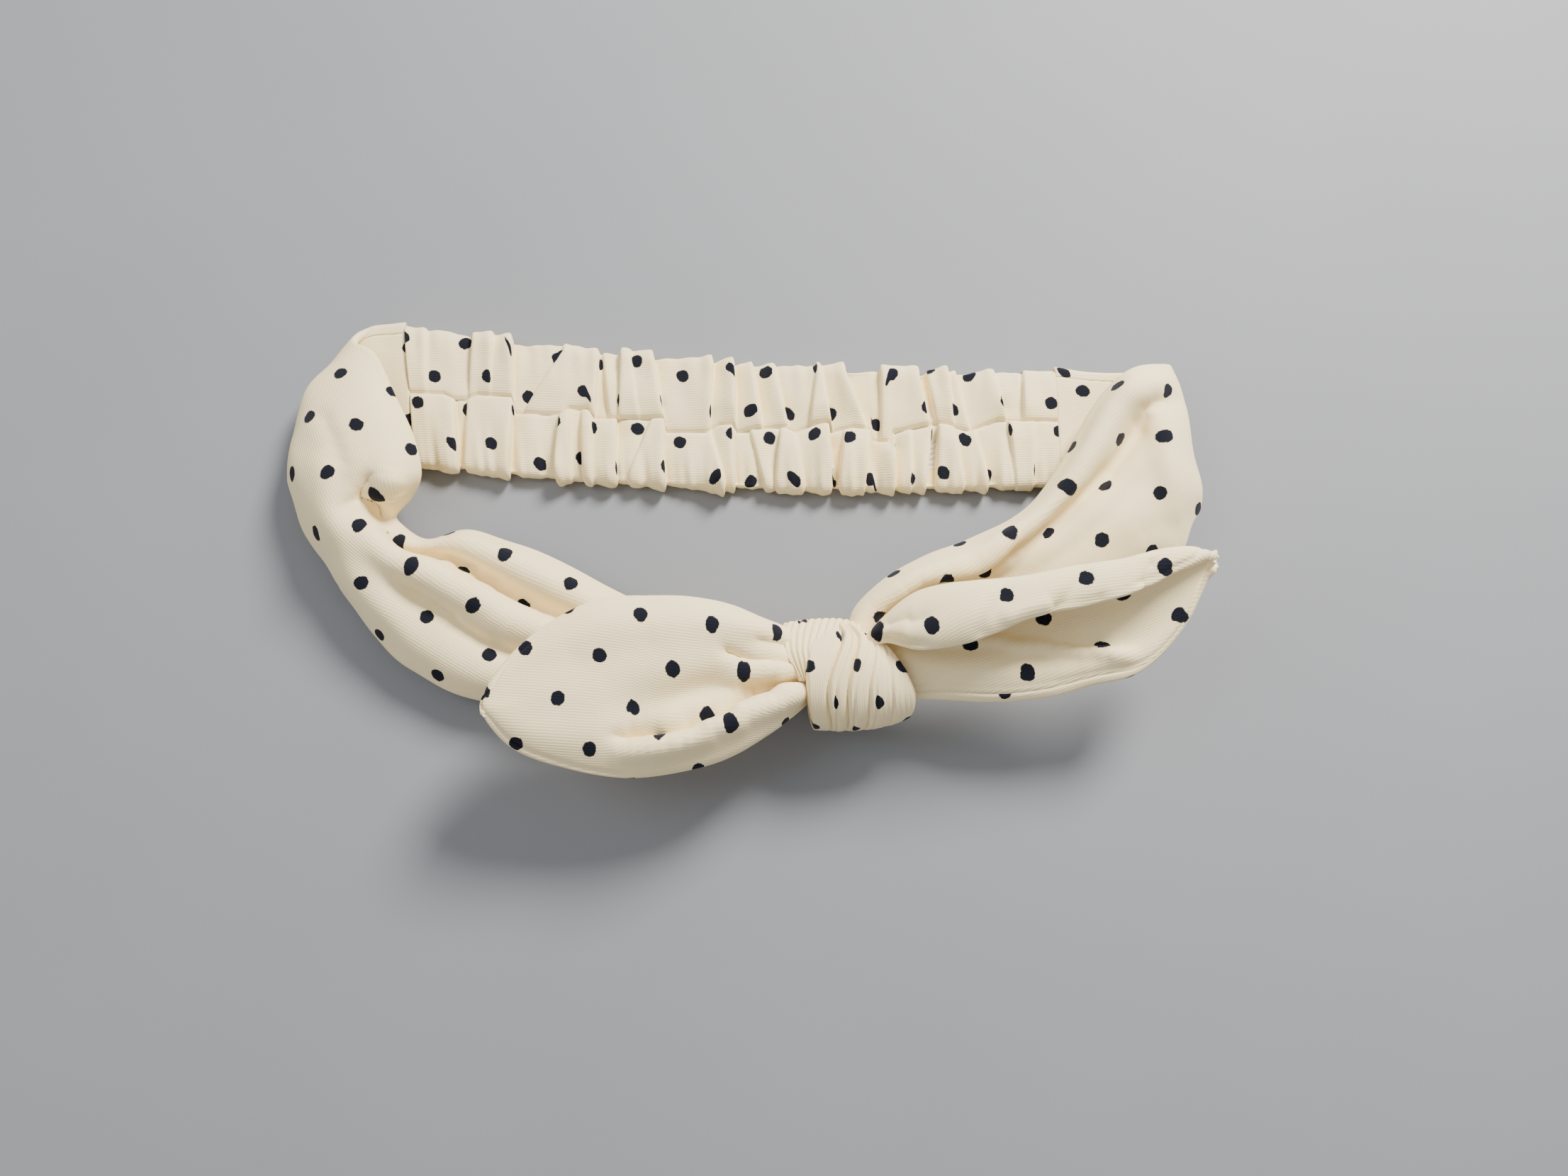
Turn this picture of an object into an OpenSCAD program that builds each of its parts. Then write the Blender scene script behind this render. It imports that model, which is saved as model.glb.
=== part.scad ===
// Knotted headband: a gathered elastic casing behind, and a sash tied in front into a
// knot with two pointed ears. It lies open on a flat surface, the knot towards the front.
// X runs along the casing, Y from the knot to the casing and Z up from the surface.

/* [Knit fabric] */
// Thickness of one layer of the knit
knit_t = 0.7; // [0.5:0.1:0.8]
// Gap between the two layers of a strap or an ear
layer_gap = 0.2; // [0.1:0.1:0.3]
// Diameter of a sewn seam line
seam_d = 0.8; // [0.6:0.1:0.9]

/* [Back casing] */
// Width of the casing at its left seam
casing_w_left = 43; // [38:1:44]
// Width of the casing at its right seam
casing_w_right = 35; // [32:1:38]
// Height of the gathered casing above the surface
casing_h = 5; // [4.5:0.5:6]
// How far the casing bows towards the knot
casing_bow = 4; // [0:0.5:6]

/* [Elastic] */
// Width of the elastic
elastic_w = 25; // [18:1:26]
// Thickness of the elastic
elastic_t = 1.2; // [0.8:0.1:1.4]
// Length of the stitched tack that holds each end of the elastic
tack_l = 1.5; // [1:0.5:3]

/* [Knot] */
// Half the depth of the knot, from its back to its front
knot_ry = 13.6; // [13:0.2:14]
// Half the height of the knot
knot_rz = 14; // [13.6:0.2:14.4]
// Thickness of the wrapped band
wrap_t = 1.6; // [1.2:0.2:2]

/* [Hidden] */

// Moves everything so that the box around the part is centred on the origin
centring = [2.6, -1.1, 0];

// Colours of the cloth, its shaded lining, the thread and the elastic
cream = [0.93, 0.89, 0.82];
cream_lining = [0.88, 0.83, 0.74];
thread_colour = [0.80, 0.74, 0.64];
elastic_colour = [0.95, 0.95, 0.93];

// The middle of each join seam, where the casing meets the straps, and how far the far end
// of the seam leans along the casing for each millimetre of width
casing_left = [-99, 46];
casing_right = [87, 36];
seam_lean_left = -0.14;
seam_lean_right = 0;
casing_steps = 16;
join_gap = 1.1;
hollow_h = 2;
clear = 0.1;
strap_seam_gap = 0.3;
ear_seam_gap = 0.8;

// Each strap is given by crosswise rows of points, from its join seam to the knot. A row
// runs from the edge that faces the head opening to the outer edge. The strap leaves the
// casing flat on the surface, rolls over at the end of the loop and comes back on top.
left_strap_rows = [
  [[-102, 68, 3], [-101, 60, 3], [-100, 53, 3], [-99, 46, 3], [-98, 38, 3], [-97, 31, 3], [-96, 24, 3]],
  [[-112, 67, 4], [-113, 62, 3], [-114, 54, 3], [-114, 47, 3], [-114, 39, 3], [-113, 31, 3], [-112, 23, 3]],
  [[-114, 60, 9], [-119, 57, 6], [-122, 52, 4], [-123, 45, 4], [-123, 38, 3], [-122, 30, 3], [-121, 23, 3]],
  [[-107, 55, 17], [-115, 50, 14], [-125, 45, 11], [-128, 39, 9], [-129, 33, 6], [-129, 27, 4], [-129, 21, 4]],
  [[-101, 43, 19], [-106, 39, 20], [-114, 34, 19], [-121, 32, 17], [-127, 29, 12], [-129, 24, 10], [-130, 19, 7]],
  [[-95, 31, 19], [-100, 27, 21], [-107, 24, 21], [-114, 22, 20], [-119, 20, 19], [-124, 16, 15], [-128, 13, 7]],
  [[-92, 20, 15], [-96, 17, 21], [-103, 16, 21], [-109, 14, 20], [-115, 11, 20], [-121, 8, 15], [-126, 6, 6]],
  [[-96, 15, 7], [-98, 12, 14], [-104, 11, 17], [-110, 9, 18], [-113, 5, 20], [-118, 2, 15], [-122, 0, 6]],
  [[-101, 9, 5], [-102, 6, 10], [-105, 7, 13], [-105, 3, 18], [-109, -1, 19], [-113, -4, 15], [-118, -5, 6]],
  [[-92, 2, 5], [-93, 0, 11], [-97, -1, 11], [-97, -5, 18], [-102, -8, 17], [-107, -13, 15], [-112, -14, 5]],
  [[-79, 4, 7], [-79, -1, 14], [-85, -5, 12], [-87, -10, 19], [-93, -15, 15], [-98, -21, 15], [-103, -25, 6]],
  [[-63, -1, 9], [-64, -8, 15], [-71, -11, 12], [-76, -16, 18], [-82, -22, 14], [-87, -30, 14], [-93, -34, 7]],
  [[-45, -9, 9], [-48, -15, 14], [-54, -19, 12], [-60, -24, 16], [-65, -31, 13], [-69, -38, 13], [-73, -43, 7]],
  [[-20, -22, 6], [-20, -26, 13], [-22, -29, 10], [-24, -32, 14], [-26, -36, 11], [-28, -40, 13], [-30, -44, 6]],
  [[11, -31, 7], [11, -33, 12], [11, -35, 10], [10, -37, 13], [10, -39, 10], [10, -41, 11], [10, -43, 7]]
];
right_strap_rows = [
  [[87, 54, 3], [87, 48, 3], [87, 42, 3], [87, 36, 3], [87, 30, 3], [87, 24, 3], [87, 18, 3]],
  [[99, 53, 3], [99, 47, 3], [99, 41, 3], [100, 35, 3], [100, 29, 3], [100, 23, 3], [100, 17, 3]],
  [[111, 53, 4], [112, 47, 4], [112, 41, 4], [112, 34, 4], [112, 28, 4], [112, 21, 4], [113, 15, 4]],
  [[118, 53, 9], [120, 46, 10], [121, 40, 10], [122, 32, 10], [123, 24, 10], [124, 17, 10], [125, 10, 8]],
  [[106, 49, 16], [107, 42, 20], [111, 37, 17], [114, 29, 18], [114, 20, 18], [116, 12, 17], [119, 4, 13]],
  [[98, 42, 13], [100, 36, 20], [106, 31, 15], [107, 22, 17], [108, 13, 17], [110, 4, 17], [115, -3, 11]],
  [[90, 29, 12], [92, 23, 20], [98, 20, 15], [97, 11, 17], [98, 3, 17], [100, -5, 15], [104, -11, 9]],
  [[82, 16, 12], [84, 12, 20], [88, 10, 15], [87, 3, 16], [87, -5, 15], [89, -12, 13], [92, -18, 7]],
  [[73, 7, 11], [74, 3, 20], [76, -1, 14], [75, -6, 13], [75, -11, 12], [76, -16, 10], [78, -21, 5]],
  [[60, 1, 11], [60, -5, 20], [61, -9, 17], [63, -10, 9], [64, -14, 9], [64, -18, 8], [65, -22, 4]],
  [[46, -5, 11], [46, -10, 20], [48, -13, 18], [50, -14, 10], [51, -18, 9], [51, -22, 8], [51, -26, 5]],
  [[35, -12, 13], [36, -16, 19], [39, -19, 17], [41, -21, 11], [43, -24, 10], [45, -28, 9], [47, -31, 7]],
  [[28, -19, 14], [30, -21, 18], [33, -23, 17], [36, -24, 11], [40, -27, 10], [43, -30, 9], [47, -33, 8]]
];
// Each ear is given by crosswise rows from the knot to its tip. The left ear lies open.
left_ear_rows = [
  [[11, -26, 22], [11, -29, 26], [11, -32, 23], [11, -36, 27], [11, -40, 24], [11, -44, 27], [11, -48, 20]],
  [[2, -23, 24], [2, -27, 29], [2, -31, 27], [1, -36, 28], [1, -41, 25], [2, -48, 29], [4, -54, 22]],
  [[-9, -19, 27], [-9, -25, 32], [-9, -31, 31], [-10, -37, 30], [-12, -43, 26], [-10, -52, 31], [-8, -61, 24]],
  [[-25, -18, 29], [-24, -25, 33], [-25, -32, 33], [-25, -39, 32], [-26, -47, 29], [-26, -56, 31], [-25, -65, 25]],
  [[-39, -20, 31], [-38, -26, 34], [-38, -33, 34], [-38, -40, 33], [-38, -48, 32], [-38, -56, 31], [-38, -64, 26]],
  [[-51, -26, 32], [-50, -31, 34], [-50, -37, 34], [-50, -43, 34], [-50, -49, 33], [-50, -55, 32], [-51, -61, 28]],
  [[-59, -33, 33], [-59, -37, 34], [-58, -41, 34], [-58, -45, 34], [-59, -49, 34], [-59, -53, 33], [-60, -57, 30]],
  [[-64, -40, 33], [-64, -42, 34], [-64, -44, 34], [-65, -46, 34], [-65, -48, 34], [-65, -50, 33], [-65, -52, 32]],
  [[-66, -44, 33], [-66, -45, 33], [-66, -46, 33], [-66, -47, 33], [-66, -48, 33], [-66, -49, 33], [-66, -50, 33]]
];
// The right ear is folded lengthwise: its free edge lies on top, then the fold, then the
// lower half, which reaches furthest forward.
right_ear_rows = [
  [[35, -30, 26], [34, -28, 28], [34, -25, 26], [36, -26, 20], [39, -31, 20], [41, -37, 21], [42, -43, 17]],
  [[44, -33, 31], [42, -28, 33], [43, -18, 30], [46, -20, 21], [48, -29, 20], [49, -37, 21], [50, -44, 17]],
  [[58, -31, 34], [56, -25, 37], [57, -16, 34], [60, -19, 24], [62, -29, 21], [63, -38, 23], [63, -45, 19]],
  [[70, -26, 36], [69, -21, 38], [69, -15, 35], [74, -18, 25], [77, -30, 22], [76, -38, 24], [77, -44, 21]],
  [[84, -23, 37], [82, -18, 39], [81, -13, 36], [87, -19, 27], [90, -30, 24], [89, -36, 26], [88, -41, 23]],
  [[98, -19, 37], [96, -15, 39], [94, -11, 37], [99, -18, 30], [103, -27, 27], [102, -33, 27], [100, -38, 25]],
  [[107, -14, 36], [105, -12, 38], [103, -9, 37], [108, -15, 32], [111, -20, 30], [111, -24, 30], [110, -28, 28]],
  [[114, -11, 35], [113, -10, 37], [112, -8, 36], [115, -11, 34], [116, -13, 33], [116, -15, 33], [116, -17, 32]],
  [[118, -8, 36], [118, -9, 36], [118, -10, 36], [118, -11, 35], [118, -12, 35], [118, -13, 35], [118, -14, 34]]
];
row_steps = 2;
point_steps = 2;

// Smooth curve between b and c of four points in a row
function curve(a, b, c, d, f) =
  0.5 * (2 * b + (c - a) * f + (2 * a - 5 * b + 4 * c - d) * f * f + (3 * b - 3 * c + d - a) * f * f * f);
function ahead(list, i) = i < 0 ? 2 * list[0] - list[1]
  : i >= len(list) ? 2 * list[len(list) - 1] - list[len(list) - 2]
  : list[i];
function smooth(list, steps) = [
  for (i = [0 : len(list) - 2]) for (k = [0 : steps - 1])
    curve(ahead(list, i - 1), list[i], list[i + 1], ahead(list, i + 2), k / steps),
  list[len(list) - 1]
];
function turned(rows) = [for (j = [0 : len(rows[0]) - 1]) [for (row = rows) row[j]]];
function refined(rows) =
  turned([for (rail = turned([for (row = rows) smooth(row, point_steps)])) smooth(rail, row_steps)]);

// Unit normal of the cloth at row i and point j
function within(v, most) = min(max(v, 0), most);
function cloth_normal(g, i, j) =
  let (
    rows = len(g) - 1,
    points = len(g[0]) - 1,
    along = g[within(i + 1, rows)][j] - g[within(i - 1, rows)][j],
    across = g[i][within(j + 1, points)] - g[i][within(j - 1, points)],
    n = cross(along, across)
  ) n / norm(n);

// A sheet of cloth between two distances from the middle surface
module sheet(rows, low, high) {
  g = refined(rows);
  n = len(g);
  m = len(g[0]);
  under = [for (i = [0 : n - 1]) for (j = [0 : m - 1]) g[i][j] + low * cloth_normal(g, i, j)];
  over = [for (i = [0 : n - 1]) for (j = [0 : m - 1]) g[i][j] + high * cloth_normal(g, i, j)];
  size = n * m;
  top_faces = [
    for (i = [0 : n - 2]) for (j = [0 : m - 2]) let (a = size + i * m + j)
      each [[a, a + 1, a + m + 1], [a, a + m + 1, a + m]]
  ];
  under_faces = [
    for (i = [0 : n - 2]) for (j = [0 : m - 2]) let (a = i * m + j)
      each [[a, a + m + 1, a + 1], [a, a + m, a + m + 1]]
  ];
  long_sides = [
    for (i = [0 : n - 2]) let (a = i * m, b = a + m - 1)
      each [
        [a, a + size, a + size + m], [a, a + size + m, a + m],
        [b, b + size + m, b + size], [b, b + m, b + size + m]
      ]
  ];
  short_sides = [
    for (j = [0 : m - 2]) let (a = j, b = (n - 1) * m + j)
      each [
        [a, a + size + 1, a + size], [a, a + 1, a + size + 1],
        [b, b + size, b + size + 1], [b, b + size + 1, b + 1]
      ]
  ];
  polyhedron(concat(under, over), concat(top_faces, under_faces, long_sides, short_sides));
}

// A thread swept along a line of points
thread_sides = 6;
module thread(points, d) {
  n = len(points);
  ring = [
    for (i = [0 : n - 1])
      let (
        way = points[min(i + 1, n - 1)] - points[max(i - 1, 0)],
        side = cross(way, [0, 0, 1]),
        across = side / norm(side),
        up = cross(across, way) / norm(way)
      )
      for (k = [0 : thread_sides - 1])
        points[i] + d / 2 * (cos(k * 360 / thread_sides) * across + sin(k * 360 / thread_sides) * up)
  ];
  walls = [
    for (i = [0 : n - 2]) for (k = [0 : thread_sides - 1])
      let (a = i * thread_sides + k, b = i * thread_sides + (k + 1) % thread_sides)
        each [[a, b, b + thread_sides], [a, b + thread_sides, a + thread_sides]]
  ];
  ends = [
    [for (k = [0 : thread_sides - 1]) thread_sides - 1 - k],
    [for (k = [0 : thread_sides - 1]) (n - 1) * thread_sides + k]
  ];
  polyhedron(ring, concat(walls, ends));
}

// The line just outside the outer long edge of a cloth
function edge_line(rows, gap) =
  let (g = refined(rows))
  [
    for (row = g)
      let (
        edge = row[len(row) - 1],
        out = edge - row[len(row) - 2]
      )
      edge + out / norm(out) * (seam_d / 2 + gap)
  ];

// Point on the casing in plan: share of the length, and distance from the middle line
function casing_width(f) = casing_w_left + (casing_w_right - casing_w_left) * f;
function casing_middle(f) =
  casing_left + (casing_right - casing_left) * f - [0, casing_bow * 4 * f * (1 - f)];
function casing_side(f) = [seam_lean_left + (seam_lean_right - seam_lean_left) * f, 1];
function casing_point(f, out) = casing_middle(f) + casing_side(f) * out;
casing_length = norm(casing_right - casing_left);
end_share = join_gap / casing_length;
// Outline in plan of a strip along the casing, with one half width or one per end
function strip(from, to, half_left, half_right) = concat(
  [for (k = [0 : casing_steps])
    let (f = from + (to - from) * k / casing_steps)
      casing_point(f, half_left + (half_right - half_left) * f)],
  [for (k = [casing_steps : -1 : 0])
    let (f = from + (to - from) * k / casing_steps)
      casing_point(f, -half_left - (half_right - half_left) * f)]
);

module slab(outline, z, h) {
  translate(centring + [0, 0, z]) linear_extrude(h) polygon(outline);
}

hollow_z = (casing_h - hollow_h) / 2;
elastic_z = hollow_z + (hollow_h - elastic_t) / 2;

module casing_tube() {
  color(cream) difference() {
    slab(strip(end_share, 1 - end_share, casing_w_left / 2, casing_w_right / 2), 0, casing_h);
    slab(strip(-end_share, 1 + end_share, elastic_w / 2 + 1, elastic_w / 2 + 1), hollow_z, hollow_h);
  }
}

module casing_seam_thread() {
  color(thread_colour)
    slab(strip(2 * end_share, 1 - 2 * end_share, seam_d / 2, seam_d / 2), casing_h, seam_d / 2);
}

module elastic_band() {
  color(elastic_colour)
    slab(strip(end_share, 1 - end_share, elastic_w / 2, elastic_w / 2), elastic_z, elastic_t);
}

module elastic_tack(from) {
  color(thread_colour)
    slab(strip(from, from + tack_l / casing_length, elastic_w / 2 - 1, elastic_w / 2 - 1),
      elastic_z + elastic_t, (hollow_h - elastic_t) / 2 - clear);
}
module elastic_tack_left() {
  elastic_tack(2 * end_share);
}
module elastic_tack_right() {
  elastic_tack(1 - 2 * end_share - tack_l / casing_length);
}

// Sewn line across the band where the gathered casing meets a strap
module join_seam(f, half) {
  color(thread_colour)
    slab(strip(f, f + 0.6 * end_share, half, half), knit_t, casing_h - 2 * knit_t);
}
module join_seam_left() {
  join_seam(0.2 * end_share, casing_w_left / 2 - 1);
}
module join_seam_right() {
  join_seam(1 - 0.8 * end_share, casing_w_right / 2 - 1);
}

// The outer side of the left strap is under its rows of points, and that of the right strap over
module outer_panel(rows, up) {
  low = up ? layer_gap / 2 : -layer_gap / 2 - knit_t;
  color(cream) translate(centring) sheet(rows, low, low + knit_t);
}
module lining_panel(rows, up) {
  low = up ? -layer_gap / 2 - knit_t : layer_gap / 2;
  color(cream_lining) translate(centring) sheet(rows, low, low + knit_t);
}
module edge_seam(points) {
  color(thread_colour) translate(centring) thread(points, seam_d);
}

module left_strap_outer() {
  outer_panel(left_strap_rows, false);
}
module left_strap_lining() {
  lining_panel(left_strap_rows, false);
}
module left_strap_edge_seam() {
  edge_seam(edge_line(left_strap_rows, strap_seam_gap));
}
module right_strap_outer() {
  outer_panel(right_strap_rows, true);
}
module right_strap_lining() {
  lining_panel(right_strap_rows, true);
}
module right_strap_edge_seam() {
  edge_seam(edge_line(right_strap_rows, strap_seam_gap));
}

// An ear's seam runs along one edge to the tip and back along the other
module left_ear_outer() {
  outer_panel(left_ear_rows, true);
}
module left_ear_lining() {
  lining_panel(left_ear_rows, true);
}
module left_ear_edge_seam() {
  edge_seam(edge_line(left_ear_rows, ear_seam_gap));
}
module right_ear_outer() {
  outer_panel(right_ear_rows, true);
}
module right_ear_lining() {
  lining_panel(right_ear_rows, true);
}
module right_ear_edge_seam() {
  edge_seam(edge_line(right_ear_rows, ear_seam_gap));
}

// The knot: bands wrapped about a line along X
knot_middle = [0, -37, knot_rz];
wrap_around = 40;
wrap_across = 5;
wrap_taper = 0.1;
function wrap_left(a) = 13 - sin(a);
function wrap_right(a) = 37 - 8 * cos(a);
// Point at angle a and share f of the width, on a surface that is `out` times the knot's size
function wrap_point(a, left, right, f, out, taper, inset) =
  let (swell = out * (1 - taper * pow(2 * f - 1, 2)))
    knot_middle
    + [left + (right - left) * f, (knot_ry * swell - inset) * cos(a), (knot_rz * swell - inset) * sin(a)];
// Closed line of points around the band's thickness at angle a
function wrap_section(a, left, right, over, under, taper, inset) = concat(
  [for (k = [0 : wrap_across - 1])
    wrap_point(a, left, right, k / (wrap_across - 1), over, taper, 0)],
  [for (k = [wrap_across - 1 : -1 : 0])
    wrap_point(a, left, right, k / (wrap_across - 1), under, taper, inset)]
);

module closed_wrap() {
  m = 2 * wrap_across;
  points = [
    for (i = [0 : wrap_around - 1]) let (a = i * 360 / wrap_around)
      each wrap_section(a, wrap_left(a), wrap_right(a), 1, 1, wrap_taper, wrap_t)
  ];
  faces = [
    for (i = [0 : wrap_around - 1]) for (j = [0 : m - 1])
      let (
        a = i * m + j,
        b = i * m + (j + 1) % m,
        c = (i + 1) % wrap_around * m + j,
        d = (i + 1) % wrap_around * m + (j + 1) % m
      ) each [[a, b, d], [a, d, c]]
  ];
  polyhedron(points, faces);
}
module knot_wrap() {
  color(cream) translate(centring) closed_wrap();
}

// A second turn shows behind the first, at the back of the knot
under_from = -50;
under_to = 30;
under_steps = 10;
under_left = 14;
under_right = 26;
under_base = 1.03;
under_edge = 1.1;
under_rise = 0.18;
module knot_under_wrap() {
  m = 2 * wrap_across;
  points = [
    for (i = [0 : under_steps])
      let (
        a = under_from + (under_to - under_from) * i / under_steps,
        high = under_edge + under_rise * sin(180 * i / under_steps)
      )
      each wrap_section(a, under_left, under_right, high, under_base, 0, 0)
  ];
  walls = [
    for (i = [0 : under_steps - 1]) for (j = [0 : m - 1])
      let (a = i * m + j, b = i * m + (j + 1) % m)
        each [[a, b, b + m], [a, b + m, a + m]]
  ];
  ends = [
    for (k = [0 : wrap_across - 2])
      each [
        [k, m - 1 - k, m - 2 - k], [k, m - 2 - k, k + 1],
        [under_steps * m + k, under_steps * m + m - 2 - k, under_steps * m + m - 1 - k],
        [under_steps * m + k, under_steps * m + k + 1, under_steps * m + m - 2 - k]
      ]
  ];
  color(cream) translate(centring) polyhedron(points, concat(walls, ends));
}

// The crossed sash inside the knot
core_rx = 10;
core_x = 27;
module knot_core() {
  color(cream_lining)
    translate(centring + knot_middle + [core_x, 0, 0])
      rotate([0, 90, 0]) linear_extrude(2 * core_rx, center = true)
        circle(r = knot_ry - wrap_t - 2, $fn = 32);
}

casing_tube();
casing_seam_thread();
elastic_band();
elastic_tack_left();
elastic_tack_right();
join_seam_left();
join_seam_right();
left_strap_outer();
left_strap_lining();
left_strap_edge_seam();
right_strap_outer();
right_strap_lining();
right_strap_edge_seam();
knot_core();
knot_wrap();
knot_under_wrap();
left_ear_outer();
left_ear_lining();
left_ear_edge_seam();
right_ear_outer();
right_ear_lining();
right_ear_edge_seam();
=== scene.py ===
import bpy
import math
import numpy as np
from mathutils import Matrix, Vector


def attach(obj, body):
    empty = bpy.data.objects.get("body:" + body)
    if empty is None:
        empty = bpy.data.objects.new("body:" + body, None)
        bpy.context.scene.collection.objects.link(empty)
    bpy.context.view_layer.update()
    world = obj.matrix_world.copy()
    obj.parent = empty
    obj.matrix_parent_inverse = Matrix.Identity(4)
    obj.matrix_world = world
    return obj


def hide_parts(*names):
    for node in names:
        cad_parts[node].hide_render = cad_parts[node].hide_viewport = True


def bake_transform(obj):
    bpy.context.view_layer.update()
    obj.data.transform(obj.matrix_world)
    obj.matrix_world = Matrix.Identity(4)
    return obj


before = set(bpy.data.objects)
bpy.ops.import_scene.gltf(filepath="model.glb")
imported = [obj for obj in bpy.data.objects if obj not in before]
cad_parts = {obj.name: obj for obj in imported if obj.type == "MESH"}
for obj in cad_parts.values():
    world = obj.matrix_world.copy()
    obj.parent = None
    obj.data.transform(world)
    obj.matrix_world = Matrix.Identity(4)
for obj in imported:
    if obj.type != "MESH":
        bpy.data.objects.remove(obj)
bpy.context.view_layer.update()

# Lengths are in millimetres, and turned to metres when a mesh is made. The lights, the floor and
# the places where a blend starts and ends are in metres.
MM = 0.001
# The same shift that centres the CAD solids on the origin
CENTRING = np.array([2.6, -1.1, 0.0])

# ---------------------------------------------------------------- camera and light

# Nearly straight down on the headband, from its front. The angle is above the horizon.
CAMERA_AT = np.array([8.65, -83.37, 344.31]) + CENTRING
CAMERA_ELEVATION = 78
LENS = 28.64
SENSOR = 36
# Round area lights: place, size across, power in watts, tint
LIGHTS = {
    "key": ((0.38, 0.56, 0.58), 0.30, 20.5, (1, 0.97, 0.93)),
    "fill": ((-0.55, 0.1, 0.7), 0.45, 2.0, (0.93, 0.96, 1)),
}
SKY_TINT = (0.95, 0.97, 1, 1)
SKY_STRENGTH = 0.58
FLOOR_REACH = 3


def placed(name, data):
    """A new object in the scene, at the origin."""
    thing = bpy.data.objects.new(name, data)
    bpy.context.scene.collection.objects.link(thing)
    return thing


def make_camera():
    data = bpy.data.cameras.new("camera")
    data.lens = LENS
    data.sensor_width = SENSOR
    camera = placed("camera", data)
    camera.location = CAMERA_AT * MM
    camera.rotation_euler = (math.radians(90 - CAMERA_ELEVATION), 0, 0)
    bpy.context.scene.camera = camera


def make_light(name, at, size, power, tint):
    """A soft light that points at the origin."""
    data = bpy.data.lights.new(name, "AREA")
    data.shape = "DISK"
    data.size = size
    data.energy = power
    data.color = tint
    light = placed(name, data)
    light.location = at
    light.rotation_euler = (-Vector(at)).to_track_quat("-Z", "Y").to_euler()


def make_world():
    world = bpy.data.worlds.new("studio")
    world.use_nodes = True
    background = world.node_tree.nodes["Background"]
    background.inputs["Color"].default_value = SKY_TINT
    background.inputs["Strength"].default_value = SKY_STRENGTH
    bpy.context.scene.world = world


def make_floor(material):
    r = FLOOR_REACH
    data = bpy.data.meshes.new("floor")
    data.from_pydata([(-r, -r, 0), (r, -r, 0), (r, r, 0), (-r, r, 0)], [], [(0, 1, 2, 3)])
    data.materials.append(material)
    placed("floor", data)


# ---------------------------------------------------------------- materials

def linear(code):
    """An sRGB hex colour as linear RGBA."""
    parts = [int(code[i:i + 2], 16) / 255 for i in (1, 3, 5)]
    out = [c / 12.92 if c <= 0.04045 else ((c + 0.055) / 1.055) ** 2.4 for c in parts]
    return (*out, 1)


def add(tree, kind, settings=None, **inputs):
    """Adds a node. Settings are the node's own fields, and inputs are values or other nodes'
    outputs. An input is named by its socket, or by its number as _0, _1 and so on."""
    node = tree.nodes.new(kind)
    for key, value in (settings or {}).items():
        setattr(node, key, value)
    for key, value in inputs.items():
        socket = node.inputs[int(key[1:])] if key[0] == "_" else node.inputs[key.replace("_", " ")]
        if isinstance(value, bpy.types.NodeSocket):
            tree.links.new(value, socket)
        else:
            socket.default_value = value
    return node


def new_material(name):
    """A material with only a shader and its output."""
    material = bpy.data.materials.new(name)
    material.use_nodes = True
    tree = material.node_tree
    tree.nodes.clear()
    shader = add(tree, "ShaderNodeBsdfPrincipled")
    out = add(tree, "ShaderNodeOutputMaterial")
    tree.links.new(shader.outputs[0], out.inputs["Surface"])
    return material, tree, shader


# Printed dots in staggered rows: distance along a row, distance between rows, radius before the
# frayed edge takes some of it
DOT_PITCH = 19.8
DOT_ROW = 11.8
DOT_RADIUS = 1.95
# The jersey's ribs are 0.5 mm apart and drawn a little coarser, so that they show
RIB_PITCH = 0.7
ELASTIC_RIB = 1.6


def rib_wave(tree, cloth, pitch):
    """Ribs along the cloth, from -1 in a groove to 1 on a rib."""
    apart = add(tree, "ShaderNodeSeparateXYZ", Vector=cloth)
    turns = add(tree, "ShaderNodeMath", {"operation": "MULTIPLY"}, _0=apart.outputs["Y"],
                _1=2 * math.pi / pitch)
    return add(tree, "ShaderNodeMath", {"operation": "SINE"}, _0=turns.outputs[0]).outputs[0]


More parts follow.
